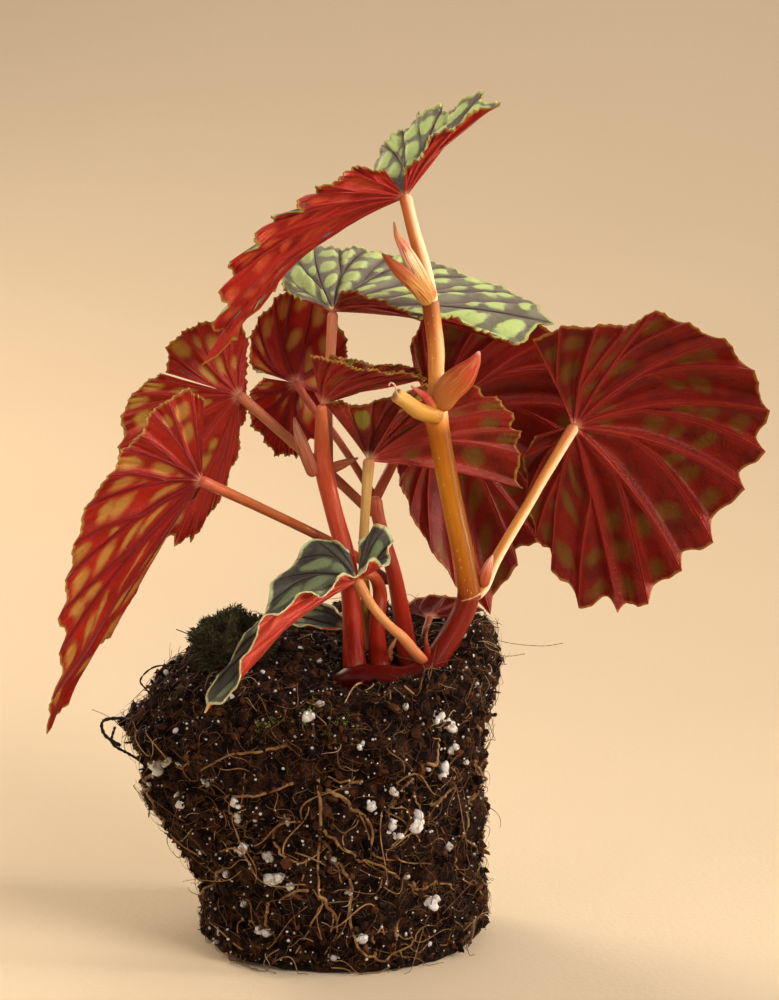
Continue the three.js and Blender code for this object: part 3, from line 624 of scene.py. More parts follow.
def wandering(places, outwards, lengths, rng, steps, lift, curl):
    """Paths that leave their places along the soil and by lift outwards, and curl as they go."""
    count = len(places)
    aside = np.cross(outwards, rng.normal(size=(count, 3)))
    aside /= np.linalg.norm(aside, axis=-1, keepdims=True)
    over = np.cross(outwards, aside)
    t = np.linspace(0, 1, steps)[None, :, None]
    bend = rng.uniform(-curl, curl, (count, 1, 1)) * t
    bend = bend + rng.uniform(-1, 1, (count, 1, 1)) * np.sin(5 * t)
    way = aside[:, None] * t + over[:, None] * bend * 0.35
    way = way + outwards[:, None] * lift * t * (1.2 - t)
    return places[:, None] + lengths[:, None, None] * way


def threads(spots, lengths, radii, thin, lowest, steps, lift, curl, sides):
    """Strands that wander from places on the soil. lengths and radii are the smallest and the
    largest, thin is the share of the radius left at the tip, lowest the least height of a path."""
    places, outwards, rng = spots
    paths = wandering(places, outwards, rng.uniform(*lengths, len(places)), rng, steps, lift, curl)
    paths[..., 2] = np.maximum(paths[..., 2], lowest)
    taper = np.linspace(1, thin, steps)
    return strands(paths, rng.uniform(*radii, (len(places), 1)) * taper, sides)


places, outwards, rng = pick_places(SIDE_CHOICES, seed=43)
depth, height = LOWER_FRONT
front = np.flatnonzero((places[:, 1] < depth) & (places[:, 2] < height))[:SIDE_ROOTS]
spots = (places + outwards * 0.35)[front], outwards[front], rng
side = threads(spots, (5, 13), (0.078, 0.182), 0.6, 0.3, steps=22, lift=0.02, curl=1.0, sides=6)
add_piece("side_roots", *side, root_finish, "root")

places, outwards, rng = pick_places(FINE_ROOTS, seed=42)
spots = places + outwards * 0.2, outwards, rng
fine = threads(spots, (3, 9), (0.049, 0.112), 0.5, 0.2, steps=12, lift=0.03, curl=1.2, sides=5)
add_piece("fine_roots", *fine, root_material("fine_root_skin", FINE_TAN, HAIR_BROWN), "root")

places, outwards, rng = pick_places(HAIRS, seed=44)
spots = places + outwards * 0.15, outwards, rng
hairs = threads(spots, (1, 3.4), (0.0315, 0.063), 0.5, 0.12, steps=6, lift=0.16, curl=2.0, sides=3)
add_piece("soil_hairs", *hairs, root_material("peat_hair", HAIR_BROWN, FINE_TAN), "soil")

# ---------------------------------------------------------------------------------------------
# Loose fibres: broken root hairs and peat fibres that stand out from the soil, most of them near
# black and a few pale, with a long wiry one looped out on the left.
FIBRES = 1700
FIBRE_STEPS, FIBRE_SIDES = 9, 4
WIRY_STEPS = 30
FIBRE_DARK = (0.011, 0.006, 0.0036, 1)
FIBRE_BROWN = (0.12, 0.04, 0.014, 1)
FIBRE_PALE = (0.5, 0.36, 0.2, 1)
WIRY_FIBRES = [  # along listed points, then the radius
    ([(-25, -12, 55.5), (-28, -12.5, 53.6), (-33, -13, 53.2), (-35.6, -12.8, 50.8),
      (-34.6, -12, 48.8), (-33, -11, 46.5)], 0.17),
    ([(-36, -3, 41), (-40.5, -3.5, 41.5), (-43.2, -4, 41), (-42.8, -4, 38.5),
      (-40, -4, 36.5)], 0.32),
    ([(-41, -3.8, 40), (-41.5, -4, 37), (-38.5, -4, 35), (-36.5, -3, 33.5)], 0.26),
    ([(-26, -6, 57), (-28, -6.5, 58), (-29.5, -7, 58.7)], 0.1),
    ([(25, -3, 57), (30, -3.5, 55.5), (36, -4, 55), (40, -4, 55.5)], 0.05),
    ([(26.5, -6, 54), (30, -7, 53.8), (33, -7, 54.2)], 0.05),
    ([(-37, -4, 38.5), (-42, -4.5, 42), (-45, -5, 43.5)], 0.05),
]


def fibre_material():
    """Dark brown to black, with a few bleached fibres among them."""
    material, tree, shader = finish_material("loose_fibre", roughness=0.6, specular_ior_level=0.2)
    tone = field(tree, "tone")
    brown = blend_colours(tree, between(tree, tone, 0.25, 0.75), FIBRE_DARK, FIBRE_BROWN)
    paint(tree, shader, blend_colours(tree, between(tree, tone, 0.88, 0.98), brown, FIBRE_PALE))
    return material


fibre_finish = fibre_material()
spots = places, outwards, rng = pick_places(FIBRES, seed=51, lowest=3)
shape = {"steps": FIBRE_STEPS, "lift": 0.75, "curl": 1.5, "sides": FIBRE_SIDES}
fibres = threads(spots, (1.5, 5.5), (0.035, 0.105), 0.35, 0.12, **shape)
bleached = 0.3 * ((places[:, 0] > 16) & (places[:, 2] > 44))
tones = np.repeat(rng.random(FIBRES) + bleached, FIBRE_STEPS * FIBRE_SIDES)
add_piece("peat_fibres", *fibres, fibre_finish, "soil", tone=tones)

paths = np.array([curve_through(route, WIRY_STEPS) for route, _ in WIRY_FIBRES])
knots = 1 + 0.25 * np.sin(2.3 * np.arange(WIRY_STEPS))
radii = np.array([[radius] for _, radius in WIRY_FIBRES]) * knots
points, faces = strands(paths, radii, sides=6)
add_piece("wiry_fibres", points, faces, fibre_finish, "soil", tone=np.zeros(len(points)))

# ---------------------------------------------------------------------------------------------
# Moss: a cushion of dark green shoots on the upper left of the soil, black where it has died back,
# and a few small yellow-green tufts on the front of the soil below it.
MOSS_CENTRE = (-19.5, -5, 54.5)
MOSS_SIZE = (7, 7.5, 6.5)
MOSS_LEAVES = 9500
MOSS_GREEN = (0.075, 0.072, 0.024, 1)
MOSS_DARK = (0.028, 0.021, 0.011, 1)
MOSS_YOUNG = (0.3, 0.32, 0.06, 1)
YOUNG_TUFTS = [  # degrees to the right of the front, height, half width
    (-11, 47.6, 1.3), (-15, 46.5, 1.0), (-24, 46.8, 1.4), (-29, 45.5, 1.1), (2, 46.5, 1.0),
    (-5, 44.5, 0.8),
]
TUFT_SPREAD = 2.0  # degrees
YOUNG_LEAVES = 90  # on each tuft
LEAFLET_POINTS = 4


def moss_material():
    """Dark green to black by the leaf's own tone, and yellow-green on young tufts."""
    material, tree, shader = finish_material("moss_leaf", roughness=0.75, specular_ior_level=0.2)
    tone = field(tree, "tone")
    old = blend_colours(tree, between(tree, tone, 0.1, 0.8), MOSS_DARK, MOSS_GREEN)
    paint(tree, shader, blend_colours(tree, between(tree, tone, 1.0, 2.0), old, MOSS_YOUNG))
    return material


def cushion():
    """An icosphere with the cushion's half sizes, and tufts raised over it by the product of three
    sine waves and by noise. Gives also the directions in which its points lie."""
    ball, faces = small_ball(5)
    x, y, z = ball.T
    tuft = np.sin(9 * x + 1) * np.sin(8 * y) * np.sin(7 * z + 2)
    rise = 0.2 * noise(ball, 0.3, 61)
    return ball * (0.93 + 0.12 * tuft + rise)[:, None] * MOSS_SIZE + MOSS_CENTRE, faces, ball


def leaflets(places, outwards, lengths, widths, rng):
    """Folded leaflets: each is a diamond of two triangles, bent along its middle."""
    count = len(places)
    way = outwards + rng.normal(size=(count, 3)) * 0.75
    way /= np.linalg.norm(way, axis=-1, keepdims=True)
    aside = np.cross(way, rng.normal(size=(count, 3)))
    aside /= np.linalg.norm(aside, axis=-1, keepdims=True)
    droop = np.cross(way, aside)
    reach, half = way * lengths[:, None], aside * widths[:, None]
    corners = [places, places + reach * 0.5 + half, places + reach + droop * lengths[:, None] * 0.2]
    corners += [places + reach * 0.5 - half]
    points = np.stack(corners, axis=1)
    halves = np.array([[0, 1, 2], [0, 2, 3]])
    return points.reshape(-1, 3), many(np.zeros(LEAFLET_POINTS), halves, count)


def add_moss(name, places, outwards, lengths, widths, tones, rng):
    """Leaflets at all the places. lengths, widths and tones are the smallest and the largest."""
    count = len(places)
    long, wide = rng.uniform(*lengths, count), rng.uniform(*widths, count)
    shape = leaflets(places, outwards, long, wide, rng)
    tone = np.repeat(rng.uniform(*tones, count), LEAFLET_POINTS)
    add_piece(name, *shape, moss_finish, "moss", smooth=False, tone=tone)


moss_finish = moss_material()
points, faces, outwards = cushion()
core_tone = np.full(len(points), 0.25)
add_piece("moss_cushion", points, faces, moss_finish, "moss", ["moss_clump"], tone=core_tone)

rng = np.random.default_rng(62)
chosen = rng.choice(len(points), MOSS_LEAVES)
add_moss("moss_leaves", points[chosen], outwards[chosen], (0.5, 1.5), (0.07, 0.17), (0, 1), rng)

degrees, heights, widths = np.repeat(YOUNG_TUFTS, YOUNG_LEAVES, axis=0).T
degrees = degrees + rng.normal(size=len(degrees)) * TUFT_SPREAD
heights = heights + rng.normal(size=len(degrees)) * widths * 0.5
add_moss("moss_tufts", *wall_point(degrees, heights), (0.4, 1.0), (0.08, 0.18), (0.8, 2.0), rng)

# ---------------------------------------------------------------------------------------------
# The rhizome creeps over the front of the soil, thick, smooth and maroon, half bedded in it. Young
# roots leave its underside, and its right end turns up into the main stem. Like every stem, it is
# laid along listed points: (x, y, z, radius).
RHIZOME = [
    (-2.5, -10, 47.4, 1.4), (1.8, -12.2, 51, 2.1), (7.5, -13.8, 51.3, 2.35), (12, -13.8, 51.2, 2.4),
    (16, -12.6, 53.2, 2.35), (19.5, -10.4, 58, 2.12), (22.5, -8.2, 63.8, 2.02),
    (22.6, -7.6, 67.5, 1.8),
]
STEM_SIDES = 28
STEM_ROWS_PER_MM = 2.2
RIBS, RIB_HEIGHT = 9, 0.012  # faint ribs along a stem, and their height as a share of its radius
ROOTLET_STEPS = 24
ROOTLETS = [  # young roots that leave the rhizome's underside, then the radius
    ([(3.9, -14, 50.4), (3.3, -17.4, 51.2), (2.2, -20.2, 50.9), (0.9, -23.8, 49.2)], 0.2),
    ([(8.5, -14, 50.2), (8.8, -17.8, 51.2), (8.8, -20.5, 51), (8.9, -23.4, 49.8)], 0.17),
    ([(10.6, -14, 50.2), (10.9, -17.8, 51.3), (11.6, -20.6, 51.2), (13, -22.6, 50.5)], 0.3),
    ([(5.9, -14, 50.2), (6, -17.2, 51.1), (5.5, -19.4, 51), (4.4, -21, 50.7)], 0.15),
]
ROOTLET_PALE = (0.5, 0.3, 0.14, 1)
PORE_COLOUR = "f0cf96"


def shade(code):
    """A colour from a web code such as b07a1e, as the linear values that shaders take."""
    parts = np.array([int(code[i : i + 2], 16) for i in (0, 2, 4)]) / 255
    linear = np.where(parts <= 0.04045, parts / 12.92, ((parts + 0.055) / 1.055) ** 2.4)
    return (*linear.tolist(), 1)


def stem_surface(places, flat, blunt):
    """Circles across a Catmull-Rom curve, with rounded ends that reach into what the stem joins.
    flat squeezes them front to back, and a small blunt makes the ends flatter. Gives points and
    faces, and for each point its share of the length and its skin place: the cosine and the sine of
    its angle, and its distance along the stem in mm."""
    p = np.array(places, float)
    for end, inner in ((0, 1), (-1, -2)):
        way = p[end, :3] - p[inner, :3]
        p[end, :3] += 0.5 * p[end, 3] * way / np.linalg.norm(way)
    length = np.linalg.norm(np.diff(p[:, :3], axis=0), axis=1).sum()
    rows = int(length * STEM_ROWS_PER_MM) + 12
    crowded_at_ends = (1 - np.cos(np.linspace(0, math.pi, rows))) / 2
    track = smooth_curve(p, crowded_at_ends * (len(p) - 1))
    path, radius = track[:, :3], np.maximum(track[:, 3], 0.02)
    gone = np.concatenate([[0], np.cumsum(np.linalg.norm(np.diff(path, axis=0), axis=1))])
    end = np.clip(np.minimum(gone, gone[-1] - gone) / (radius * blunt), 0, 1)
    radius = radius * np.sqrt(np.maximum(1 - (1 - end) ** 2, 1e-4))
    ahead = np.gradient(path, axis=0)
    ahead /= np.linalg.norm(ahead, axis=1, keepdims=True)
    aside = np.cross(ahead, [0, 1, 0])
    aside /= np.linalg.norm(aside, axis=1, keepdims=True)
    over = np.cross(aside, ahead)
    turn = np.linspace(0, 2 * math.pi, STEM_SIDES, endpoint=False)
    ribbed = radius[:, None] * (1 + RIB_HEIGHT * np.sin(RIBS * turn))
    c, s = np.cos(turn), np.sin(turn)
    ring = c[None, :, None] * aside[:, None] - flat * s[None, :, None] * over[:, None]
    points = path[:, None] + ring * ribbed[..., None]
    skin = np.stack(np.broadcast_arrays(c[None], s[None], gone[:, None]), axis=-1)
    points = np.concatenate([points.reshape(-1, 3), path[[0, -1]]])
    share = np.repeat(gone / gone[-1], STEM_SIDES)
    skin = np.concatenate([skin.reshape(-1, 3), [[0, 0, 0], [0, 0, gone[-1]]]])
    return points, close_poles(rows, STEM_SIDES), np.append(share, [0, 1]), skin


def add_stem(name, places, material, slot, flat=1.0, blunt=1.0):
    """A stem, stalk or scale, which stands for the node of its name where there is one."""
    points, faces, share, skin = stem_surface(places, flat, blunt)
    replaced = [name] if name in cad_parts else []
    made = add_piece(name + "_skin", points, faces, material, slot, replaced, share=share)
    stored = made.data.attributes.new("skin", "FLOAT_VECTOR", "POINT").data
    stored.foreach_set("vector", skin.ravel())


def ramp(tree, value, stops):
    """A colour that changes along the stops: (place from 0 to 1, colour)."""
    made = add_node(tree, "ShaderNodeValToRGB", None, fac=value)
    elements = made.color_ramp.elements
    while len(elements) < len(stops):
        elements.new(0.5)
    for element, (place, code) in zip(elements, stops):
        element.position, element.color = place, shade(code)
    return made.outputs["Color"]


def maths(tree, kind, first, second):
    """One step of arithmetic on two values or sockets."""
    return add_node(tree, "ShaderNodeMath", {"operation": kind}, _0=first, _1=second).outputs[0]


def new_group(name, inputs, outputs):
    """A shader node group, with its inputs and its outputs by name."""
    group = bpy.data.node_groups.new(name, "ShaderNodeTree")
    for socket, kind in inputs.items():
        group.interface.new_socket(socket, in_out="INPUT", socket_type=kind)
    for socket in outputs:
        group.interface.new_socket(socket, in_out="OUTPUT", socket_type="NodeSocketFloat")
    given, out = group.nodes.new("NodeGroupInput"), group.nodes.new("NodeGroupOutput")
    return group, given.outputs, out.inputs


def streaks_group():
    """The skin of a stem: a value that changes in long streaks, and pale pores. Both come from its
    skin place, squeezed along the stem."""
    group, given, out = new_group("stem_skin", {"Skin": "NodeSocketVector"}, ("Streaks", "Pores"))

    def squeezed(amounts):
        """The skin place times the three amounts."""
        settings = {"operation": "MULTIPLY"}
        made = add_node(group, "ShaderNodeVectorMath", settings, _0=given["Skin"], _1=amounts)
        return made.outputs[0]

    long = squeezed((1.0, 1.0, 0.06))
    grain = add_node(group, "ShaderNodeTexNoise", None, vector=long, scale=5.0, detail=3.0)
    group.links.new(grain.outputs["Fac"], out["Streaks"])
    spread = squeezed((1.2, 1.2, 0.3))
    cells = add_node(group, "ShaderNodeTexVoronoi", None, vector=spread, scale=2.2, randomness=1.0)
    group.links.new(between(group, cells.outputs["Distance"], 0.16, 0.09), out["Pores"])
    return group


stem_skin = streaks_group()


def stem_material(name, stops, streak, pores=0.0, right=None, gloss=0.32, streaked=0.9):
    """The stops' colours along the stem, darkened to the streak colour in long streaks (the smaller
    streaked, the stronger they are), with pale pores, and with other stops for its right side if it
    has them: painted light, darker there as shade or paler as a highlight, as if lit from the
    right."""
    material, tree, shader = finish_material(
        name, roughness=gloss, specular_ior_level=0.14,
        subsurface_weight=0.15, subsurface_scale=1 * MM, subsurface_radius=(1.0, 0.35, 0.12),
    )
    skin, share = field(tree, "skin", "Vector"), field(tree, "share")
    pattern = add_node(tree, "ShaderNodeGroup", {"node_tree": stem_skin}, skin=skin).outputs
    amount = between(tree, pattern["Streaks"], 0.44, streaked)
    colour = blend_colours(tree, amount, ramp(tree, share, stops), shade(streak))
    if pores:
        amount = maths(tree, "MULTIPLY", pattern["Pores"], pores)
        colour = blend_colours(tree, amount, colour, shade(PORE_COLOUR))
    # Painted light: the right side of the stem takes its own colours, as painted shade or a painted
    # highlight.
    if right:
        around = add_node(tree, "ShaderNodeSeparateXYZ", None, vector=skin)
        side = between(tree, around.outputs["X"], 0.3, -0.85)
        colour = blend_colours(tree, side, colour, ramp(tree, share, right))
    paint(tree, shader, colour)
    raise_surface(tree, shader, pattern["Streaks"], distance=0.2 * MM, strength=0.35)
    return material


maroon = [(0, "2c0604"), (0.15, "4c0804"), (0.5, "600a04"), (0.75, "701806"), (1, "7c2408")]
add_stem("rhizome", RHIZOME, stem_material("rhizome_skin", maroon, "480804", gloss=0.3), "rhizome")

paths = np.array([curve_through(route, ROOTLET_STEPS) for route, _ in ROOTLETS])
radii = np.array([[radius] for _, radius in ROOTLETS]) * np.linspace(1, 0.45, ROOTLET_STEPS)
rootlets = strands(paths, radii, sides=8)
rootlet_finish = root_material("rootlet_skin", ROOTLET_PALE, ROOT_TAN)
add_piece("rootlets", *rootlets, rootlet_finish, "root")

# ---------------------------------------------------------------------------------------------
# The stems that rise from the rhizome: juicy, smooth and a little translucent. The main one is
# amber with pale pores up to its node, and pale gold with brown streaks above it. On its right
# side its colours are painted darker below the node, as shade, and paler above it, as a highlight.
STEM_MAIN = [
    (23, -8.1, 65, 2.06), (22.2, -7.2, 70.5, 1.98), (20.5, -6, 78.5, 1.9), (19, -5.5, 86, 1.9),
    (17.5, -5, 94, 2.0), (17, -5, 97.5, 2.1), (17, -4.5, 102.5, 1.45), (17, -3.5, 108.5, 1.5),
    (16.5, -2.5, 113, 1.5), (16, -2, 116.5, 1.6),
]
STEM_LEFT = [
    (2.6, -11.6, 52.2, 2.3), (2.3, -10, 55.2, 2.0), (2, -6.5, 61, 1.75), (1, -1, 70, 1.7),
    (-1.5, 2, 79, 1.6), (-3, 3, 85.5, 1.7), (-3.5, 3, 90.5, 1.4), (-3.5, -0.5, 98, 0.9),
]
STEM_BACK = [
    (13, -12.2, 52.4, 2.0), (12, -8.6, 54.6, 1.9), (11, -3.6, 60, 1.6), (9.5, 2, 67, 1.4),
    (7, 5, 75.5, 1.2), (6, 6, 80, 1.4),
]
STEM_SHORT = [
    (7.4, -12.6, 52.6, 1.9), (6.7, -10, 55, 1.7), (6.5, -6.5, 59.5, 1.45), (7, -4, 64.5, 1.3),
    (6, -6, 68, 1.0), (4.5, -8, 69, 0.7),
]
STUB = [
    (17, -7, 97.5, 1.6), (14, -9, 98.5, 1.5), (11.5, -10, 100.5, 1.35), (10, -10.5, 101.5, 1.25),
]

amber = [
    (0, "b4703c"), (0.015, "8a3604"), (0.1, "ac5c06"), (0.3, "bc730e"), (0.44, "b86c0c"),
    (0.56, "a25808"), (0.62, "c8742e"), (0.68, "dc9040"), (0.82, "d48436"), (0.9, "a8501a"),
    (0.95, "8c3e14"), (1, "7a3410"),
]
# The main stem's right side: painted shade, darker, up to the node, then a painted highlight, pale
# cream, above it.
amber_right_shade_and_highlight = [
    (0, "84420c"), (0.3, "845010"), (0.56, "804410"), (0.6, "c4803c"), (0.64, "e8b880"),
    (0.84, "e8b47c"), (0.93, "c88848"), (1, "a8683c"),
]
main_finish = stem_material("main_stem_skin", amber, "a85c14", 0.5, amber_right_shade_and_highlight)
add_stem("stem_main", STEM_MAIN, main_finish, "stem_amber", blunt=0.3)
brick = [(0, "6e1206"), (0.15, "8a1a0a"), (0.45, "ae361a"), (0.8, "ba4e2c"), (1, "c46a44")]
add_stem("stem_left", STEM_LEFT, stem_material("left_stem_skin", brick, "a03c24", 0.1), "stem_red")
deep_brick = [(0, "6e1408"), (0.4, "8c1e0e"), (0.8, "a83c20"), (1, "b86444")]
deep_finish = stem_material("inner_stem_skin", deep_brick, "7c2010", 0.05)
add_stem("stem_back", STEM_BACK, deep_finish, "stem_red")
add_stem("stem_short", STEM_SHORT, deep_finish, "stem_red")
stub = [(0, "ac7028"), (0.3, "bc8434"), (0.6, "c89448"), (0.92, "d0a45c"), (1, "8a5a30")]
stub_finish = stem_material("stub_skin", stub, "b88a44", 0.3)
add_stem("petiole_stub", STUB, stub_finish, "stem_amber", blunt=0.35)

# ---------------------------------------------------------------------------------------------
# The leaf stalks: thin, round and cream to coral, each from its stem to the blade that it carries.
# Two of them have a painted highlight, pale cream, down their right side.
PAINTED_HIGHLIGHT_RIGHT = {"petiole_top", "petiole_right"}
STALKS = {  # places, colours along it, streak colour
    "petiole_top": (
        [(16, -2, 117, 1.4), (15, -1.5, 122.5, 1.3), (13, -1, 129.5, 1.2), (12, -0.5, 133.5, 1.15),
         (11.5, 0, 135.5, 1.2)],
        [(0, "c47c34"), (0.5, "cc7e40"), (1, "c4642c")], "ac5824",
    ),
    "petiole_green": (
        [(-2.5, 6, 86, 1.0), (-2.5, 8, 90.5, 0.95), (-2.5, 8, 97, 0.9), (-2, 7, 105.5, 0.9),
         (-1.5, 6, 114, 1.0)],
        [(0, "b86848"), (0.5, "cf8060"), (1, "d88a6a")], "b05a40",
    ),
    "petiole_right": (
        [(23.7, -7.7, 64.9, 1.0), (25.5, -7, 66.5, 1.1), (28, -5, 71.5, 1.0), (34, -1, 81, 0.95),
         (36.5, 1, 85, 0.95), (42, 5, 93.5, 1.1)],
        [(0, "b8682c"), (0.4, "c88438"), (0.85, "cc8444"), (1, "c0684c")], "b4682a",
    ),
    "petiole_back_right": (
        [(6, 8, 79.5, 0.95), (8, 9, 83.5, 0.95), (11.5, 13, 89.5, 0.95), (15, 16, 91, 0.95),
         (18, 17.5, 92, 1.0)],
        [(0, "a84a2c"), (0.5, "b85a38"), (1, "a84a38")], "8a3420",
    ),
    "petiole_centre": (
        [(5.5, -3, 53, 1.1), (4.5, -3, 63, 0.9), (4, -3, 71.5, 0.9), (4.5, -2.5, 81.5, 0.9),
         (5, -2, 88.5, 1.1)],
        [(0, "8a4a28"), (0.4, "b88a48"), (0.9, "c8a060"), (1, "b87850")], "a87838",
    ),
    "petiole_left_front": (
        [(8.5, 3, 65.5, 0.9), (3, 7, 69, 0.9), (-3, 7, 72.5, 0.9), (-14, -1, 79.5, 0.9),
         (-24.5, -9, 86, 1.05)],
        [(0, "8a3420"), (0.4, "a0542c"), (0.8, "b05e34"), (1, "b85a40")], "8c4424",
    ),
    "petiole_left_back": (
        [(5.5, 6, 77.5, 0.9), (-2, 10, 84, 0.9), (-8, 10.5, 89, 0.9), (-14, 10, 94.5, 0.95),
         (-18.5, 10, 98.5, 1.0)],
        [(0, "9a4428"), (0.5, "b07048"), (1, "b8684a")], "94512c",
    ),
    "petiole_mid_back": (
        [(6, 8, 80, 0.75), (1.5, 13, 86.5, 0.7), (-2, 14, 91.5, 0.7), (-5, 15, 95, 0.7),
         (-8.5, 16, 100, 0.75)],
        [(0, "a0482c"), (0.5, "b8624a"), (1, "b85a48")], "9a4430",
    ),
    "petiole_low_front": (
        [(15.4, -13.2, 53.7, 1.0), (13.4, -14.5, 56, 1.0), (11, -15, 59, 0.95),
         (8.5, -16, 61.5, 0.85), (5.5, -15.5, 65, 0.85), (3, -14, 69, 1.1)],
        [(0, "9c4424"), (0.15, "b8683c"), (0.4, "c88450"), (0.7, "d09458"), (1, "c07a4c")],
        "b46838",
    ),
    "petiole_low_right": (
        [(15.5, -2, 53, 0.65), (15, 1, 55.5, 0.6), (16, 4, 58.5, 0.65)],
        [(0, "8a3a24"), (1, "a85a3c")], "7a2c1c",
    ),
    "petiole_low_back": (
        [(3, 2, 53, 0.7), (2, 5, 54.5, 0.65), (0.5, 8, 55.5, 0.7)],
        [(0, "8a3a24"), (1, "a85a3c")], "7a2c1c",
    ),
}
for stalk_name, (stalk_places, stalk_colours, stalk_streak) in STALKS.items():
    # Painted highlight: pale cream colours for the right side of these two stalks, as if lit from
    # the right.
    pale = [(0, "f6d8ac"), (1, "eecaa0")] if stalk_name in PAINTED_HIGHLIGHT_RIGHT else None
    finish = stem_material(stalk_name + "_skin", stalk_colours, stalk_streak, 0.1, pale)
    add_stem(stalk_name, stalk_places, finish, "petiole")

# ---------------------------------------------------------------------------------------------
# Stipules: the papery scales that wrapped each new leaf. They sit at the nodes, pointed, a little
# flattened and streaked, red where fresh and brown where they have dried. With them are the young
# shoots, the rim of a leaf scar low on the main stem and a dried thread on the cut stalk.
SCALES = {  # places, colours from base to tip, streak colour, how flat
    "stipule_bud": (
        [(18, -7, 99, 1.6), (19, -8, 102, 2.5), (21.5, -8.5, 104.5, 2.4), (23.5, -8.5, 107, 1.3),
         (24.5, -8.5, 109, 0.25)],
        [(0, "b4782c"), (0.25, "b06830"), (0.55, "a44a20"), (0.8, "ac3428"), (0.94, "c4504a"),
         (1, "f0c8c0")],
        "b46a36", 0.75,
    ),
    "stipule_small": (
        [(16.5, -8, 99, 0.9), (15, -8.5, 101, 0.7), (12.5, -9, 103, 0.15)],
        [(0, "d08a58"), (0.5, "c8403a"), (1, "d8907a")], "b83a30", 0.6,
    ),
    "stipule_upper_left": (
        [(15.5, -5, 117.5, 1.2), (13.5, -5.5, 120, 1.35), (10, -6, 123.5, 1.1),
         (7.5, -6, 126, 0.2)],
        [(0, "c49848"), (0.35, "cc9450"), (0.6, "b05c34"), (0.85, "a05028"), (1, "703c1c")],
        "94341c", 0.7,
    ),
    "stipule_upper_right": (
        [(16, -3, 118, 1.4), (13.5, -4, 122.5, 1.6), (11.5, -4, 126.5, 1.1), (10, -4, 129, 0.5),
         (9.5, -4, 131.5, 0.12)],
        [(0, "c8a04c"), (0.3, "e0c080"), (0.55, "f0d4a8"), (0.75, "d88c6c"), (0.88, "b08448"),
         (1, "80682c")],
        "c44c3c", 0.7,
    ),
    "stipule_node_left": (
        [(-5, 2, 85.5, 1.2), (-7, 3, 90.5, 1.2), (-8, 4, 93.5, 0.7), (-8.5, 4, 95.5, 0.15)],
        [(0, "a85838"), (0.5, "b06848"), (0.9, "c08a70"), (1, "8a6048")], "8a4430", 0.6,
    ),
    "stipule_node_right": (
        [(-2, 4, 86, 1.1), (0.5, 4, 87, 0.8), (3, 4, 88, 0.15)],
        [(0, "b05a38"), (0.6, "c87858"), (1, "a8785a")], "9a4a34", 0.6,
    ),
    "stipule_petiole": (
        [(25.5, -8, 67, 0.9), (25.9, -8, 69, 1.05), (26.5, -8, 71, 0.7), (27.1, -8, 72.4, 0.12)],
        [(0, "a8502c"), (0.4, "b8603c"), (0.75, "dc9c7c"), (1, "f0ccb8")], "a03c28", 0.6,
    ),
    "red_bud": (
        [(15.6, -13.4, 54.4, 0.6), (15.3, -14, 56.6, 0.55), (15.2, -14.1, 58.4, 0.3),
         (15.3, -14, 59.6, 0.1)],
        [(0, "641006"), (0.6, "862412"), (1, "b8603c")], "701808", 0.8,
    ),
    "sprout": (
        [(9, -8, 53, 0.8), (9, -7, 55, 0.6), (10, -7, 57, 0.3)],
        [(0, "a04a2c"), (1, "d89868")], "b86a44", 0.9,
    ),
}
SCAR_MIDDLE, SCAR_RADIUS, SCAR_TILT = (22.85, -8.05, 64.9), 2.12, 0.35
SCAR_STEPS, SCAR_RIM = 41, 0.13
THREAD_STEPS, THREAD_RADIUS = 24, 0.16
DRY_THREAD = [
    (10.6, -11.4, 101.2), (9.9, -11.8, 102.4), (9.6, -11.9, 103.6), (8.9, -11.9, 104),
    (8.6, -11.9, 103.5),
]

for scale_name, (scale_places, scale_colours, scale_streak, flatness) in SCALES.items():
    finish = stem_material(
        scale_name + "_paper", scale_colours, scale_streak, gloss=0.42, streaked=0.66
    )
    add_stem(scale_name, scale_places, finish, "stipule", flat=flatness)

thread_path = curve_through(DRY_THREAD, THREAD_STEPS)[None]
thread = strands(thread_path, np.full((1, THREAD_STEPS), THREAD_RADIUS), sides=6)
thread_finish = root_material("dried_sheath", shade("f4ead8"), shade("c89868"))
add_piece("dry_thread", *thread, thread_finish, "stipule")

turn = np.linspace(0, 2 * math.pi, SCAR_STEPS)
around = SCAR_RADIUS * np.stack([np.cos(turn), np.sin(turn), SCAR_TILT * np.cos(turn)], axis=-1)
scar = strands((SCAR_MIDDLE + around)[None], np.full((1, SCAR_STEPS), SCAR_RIM), sides=6)
scar_finish = root_material("scar_rim", shade("dca878"), shade("a85c38"))
add_piece("leaf_scar", *scar, scar_finish, "stem_amber")

# ---------------------------------------------------------------------------------------------
# The leaf blades: thin, pleated along the veins and toothed. Above they are light green between
# dark violet veins, below crimson with olive or gold spots. A vein reaches each tooth; every second
# one forks off its neighbour. Each blade is one closed skin, held by its stalk alone.

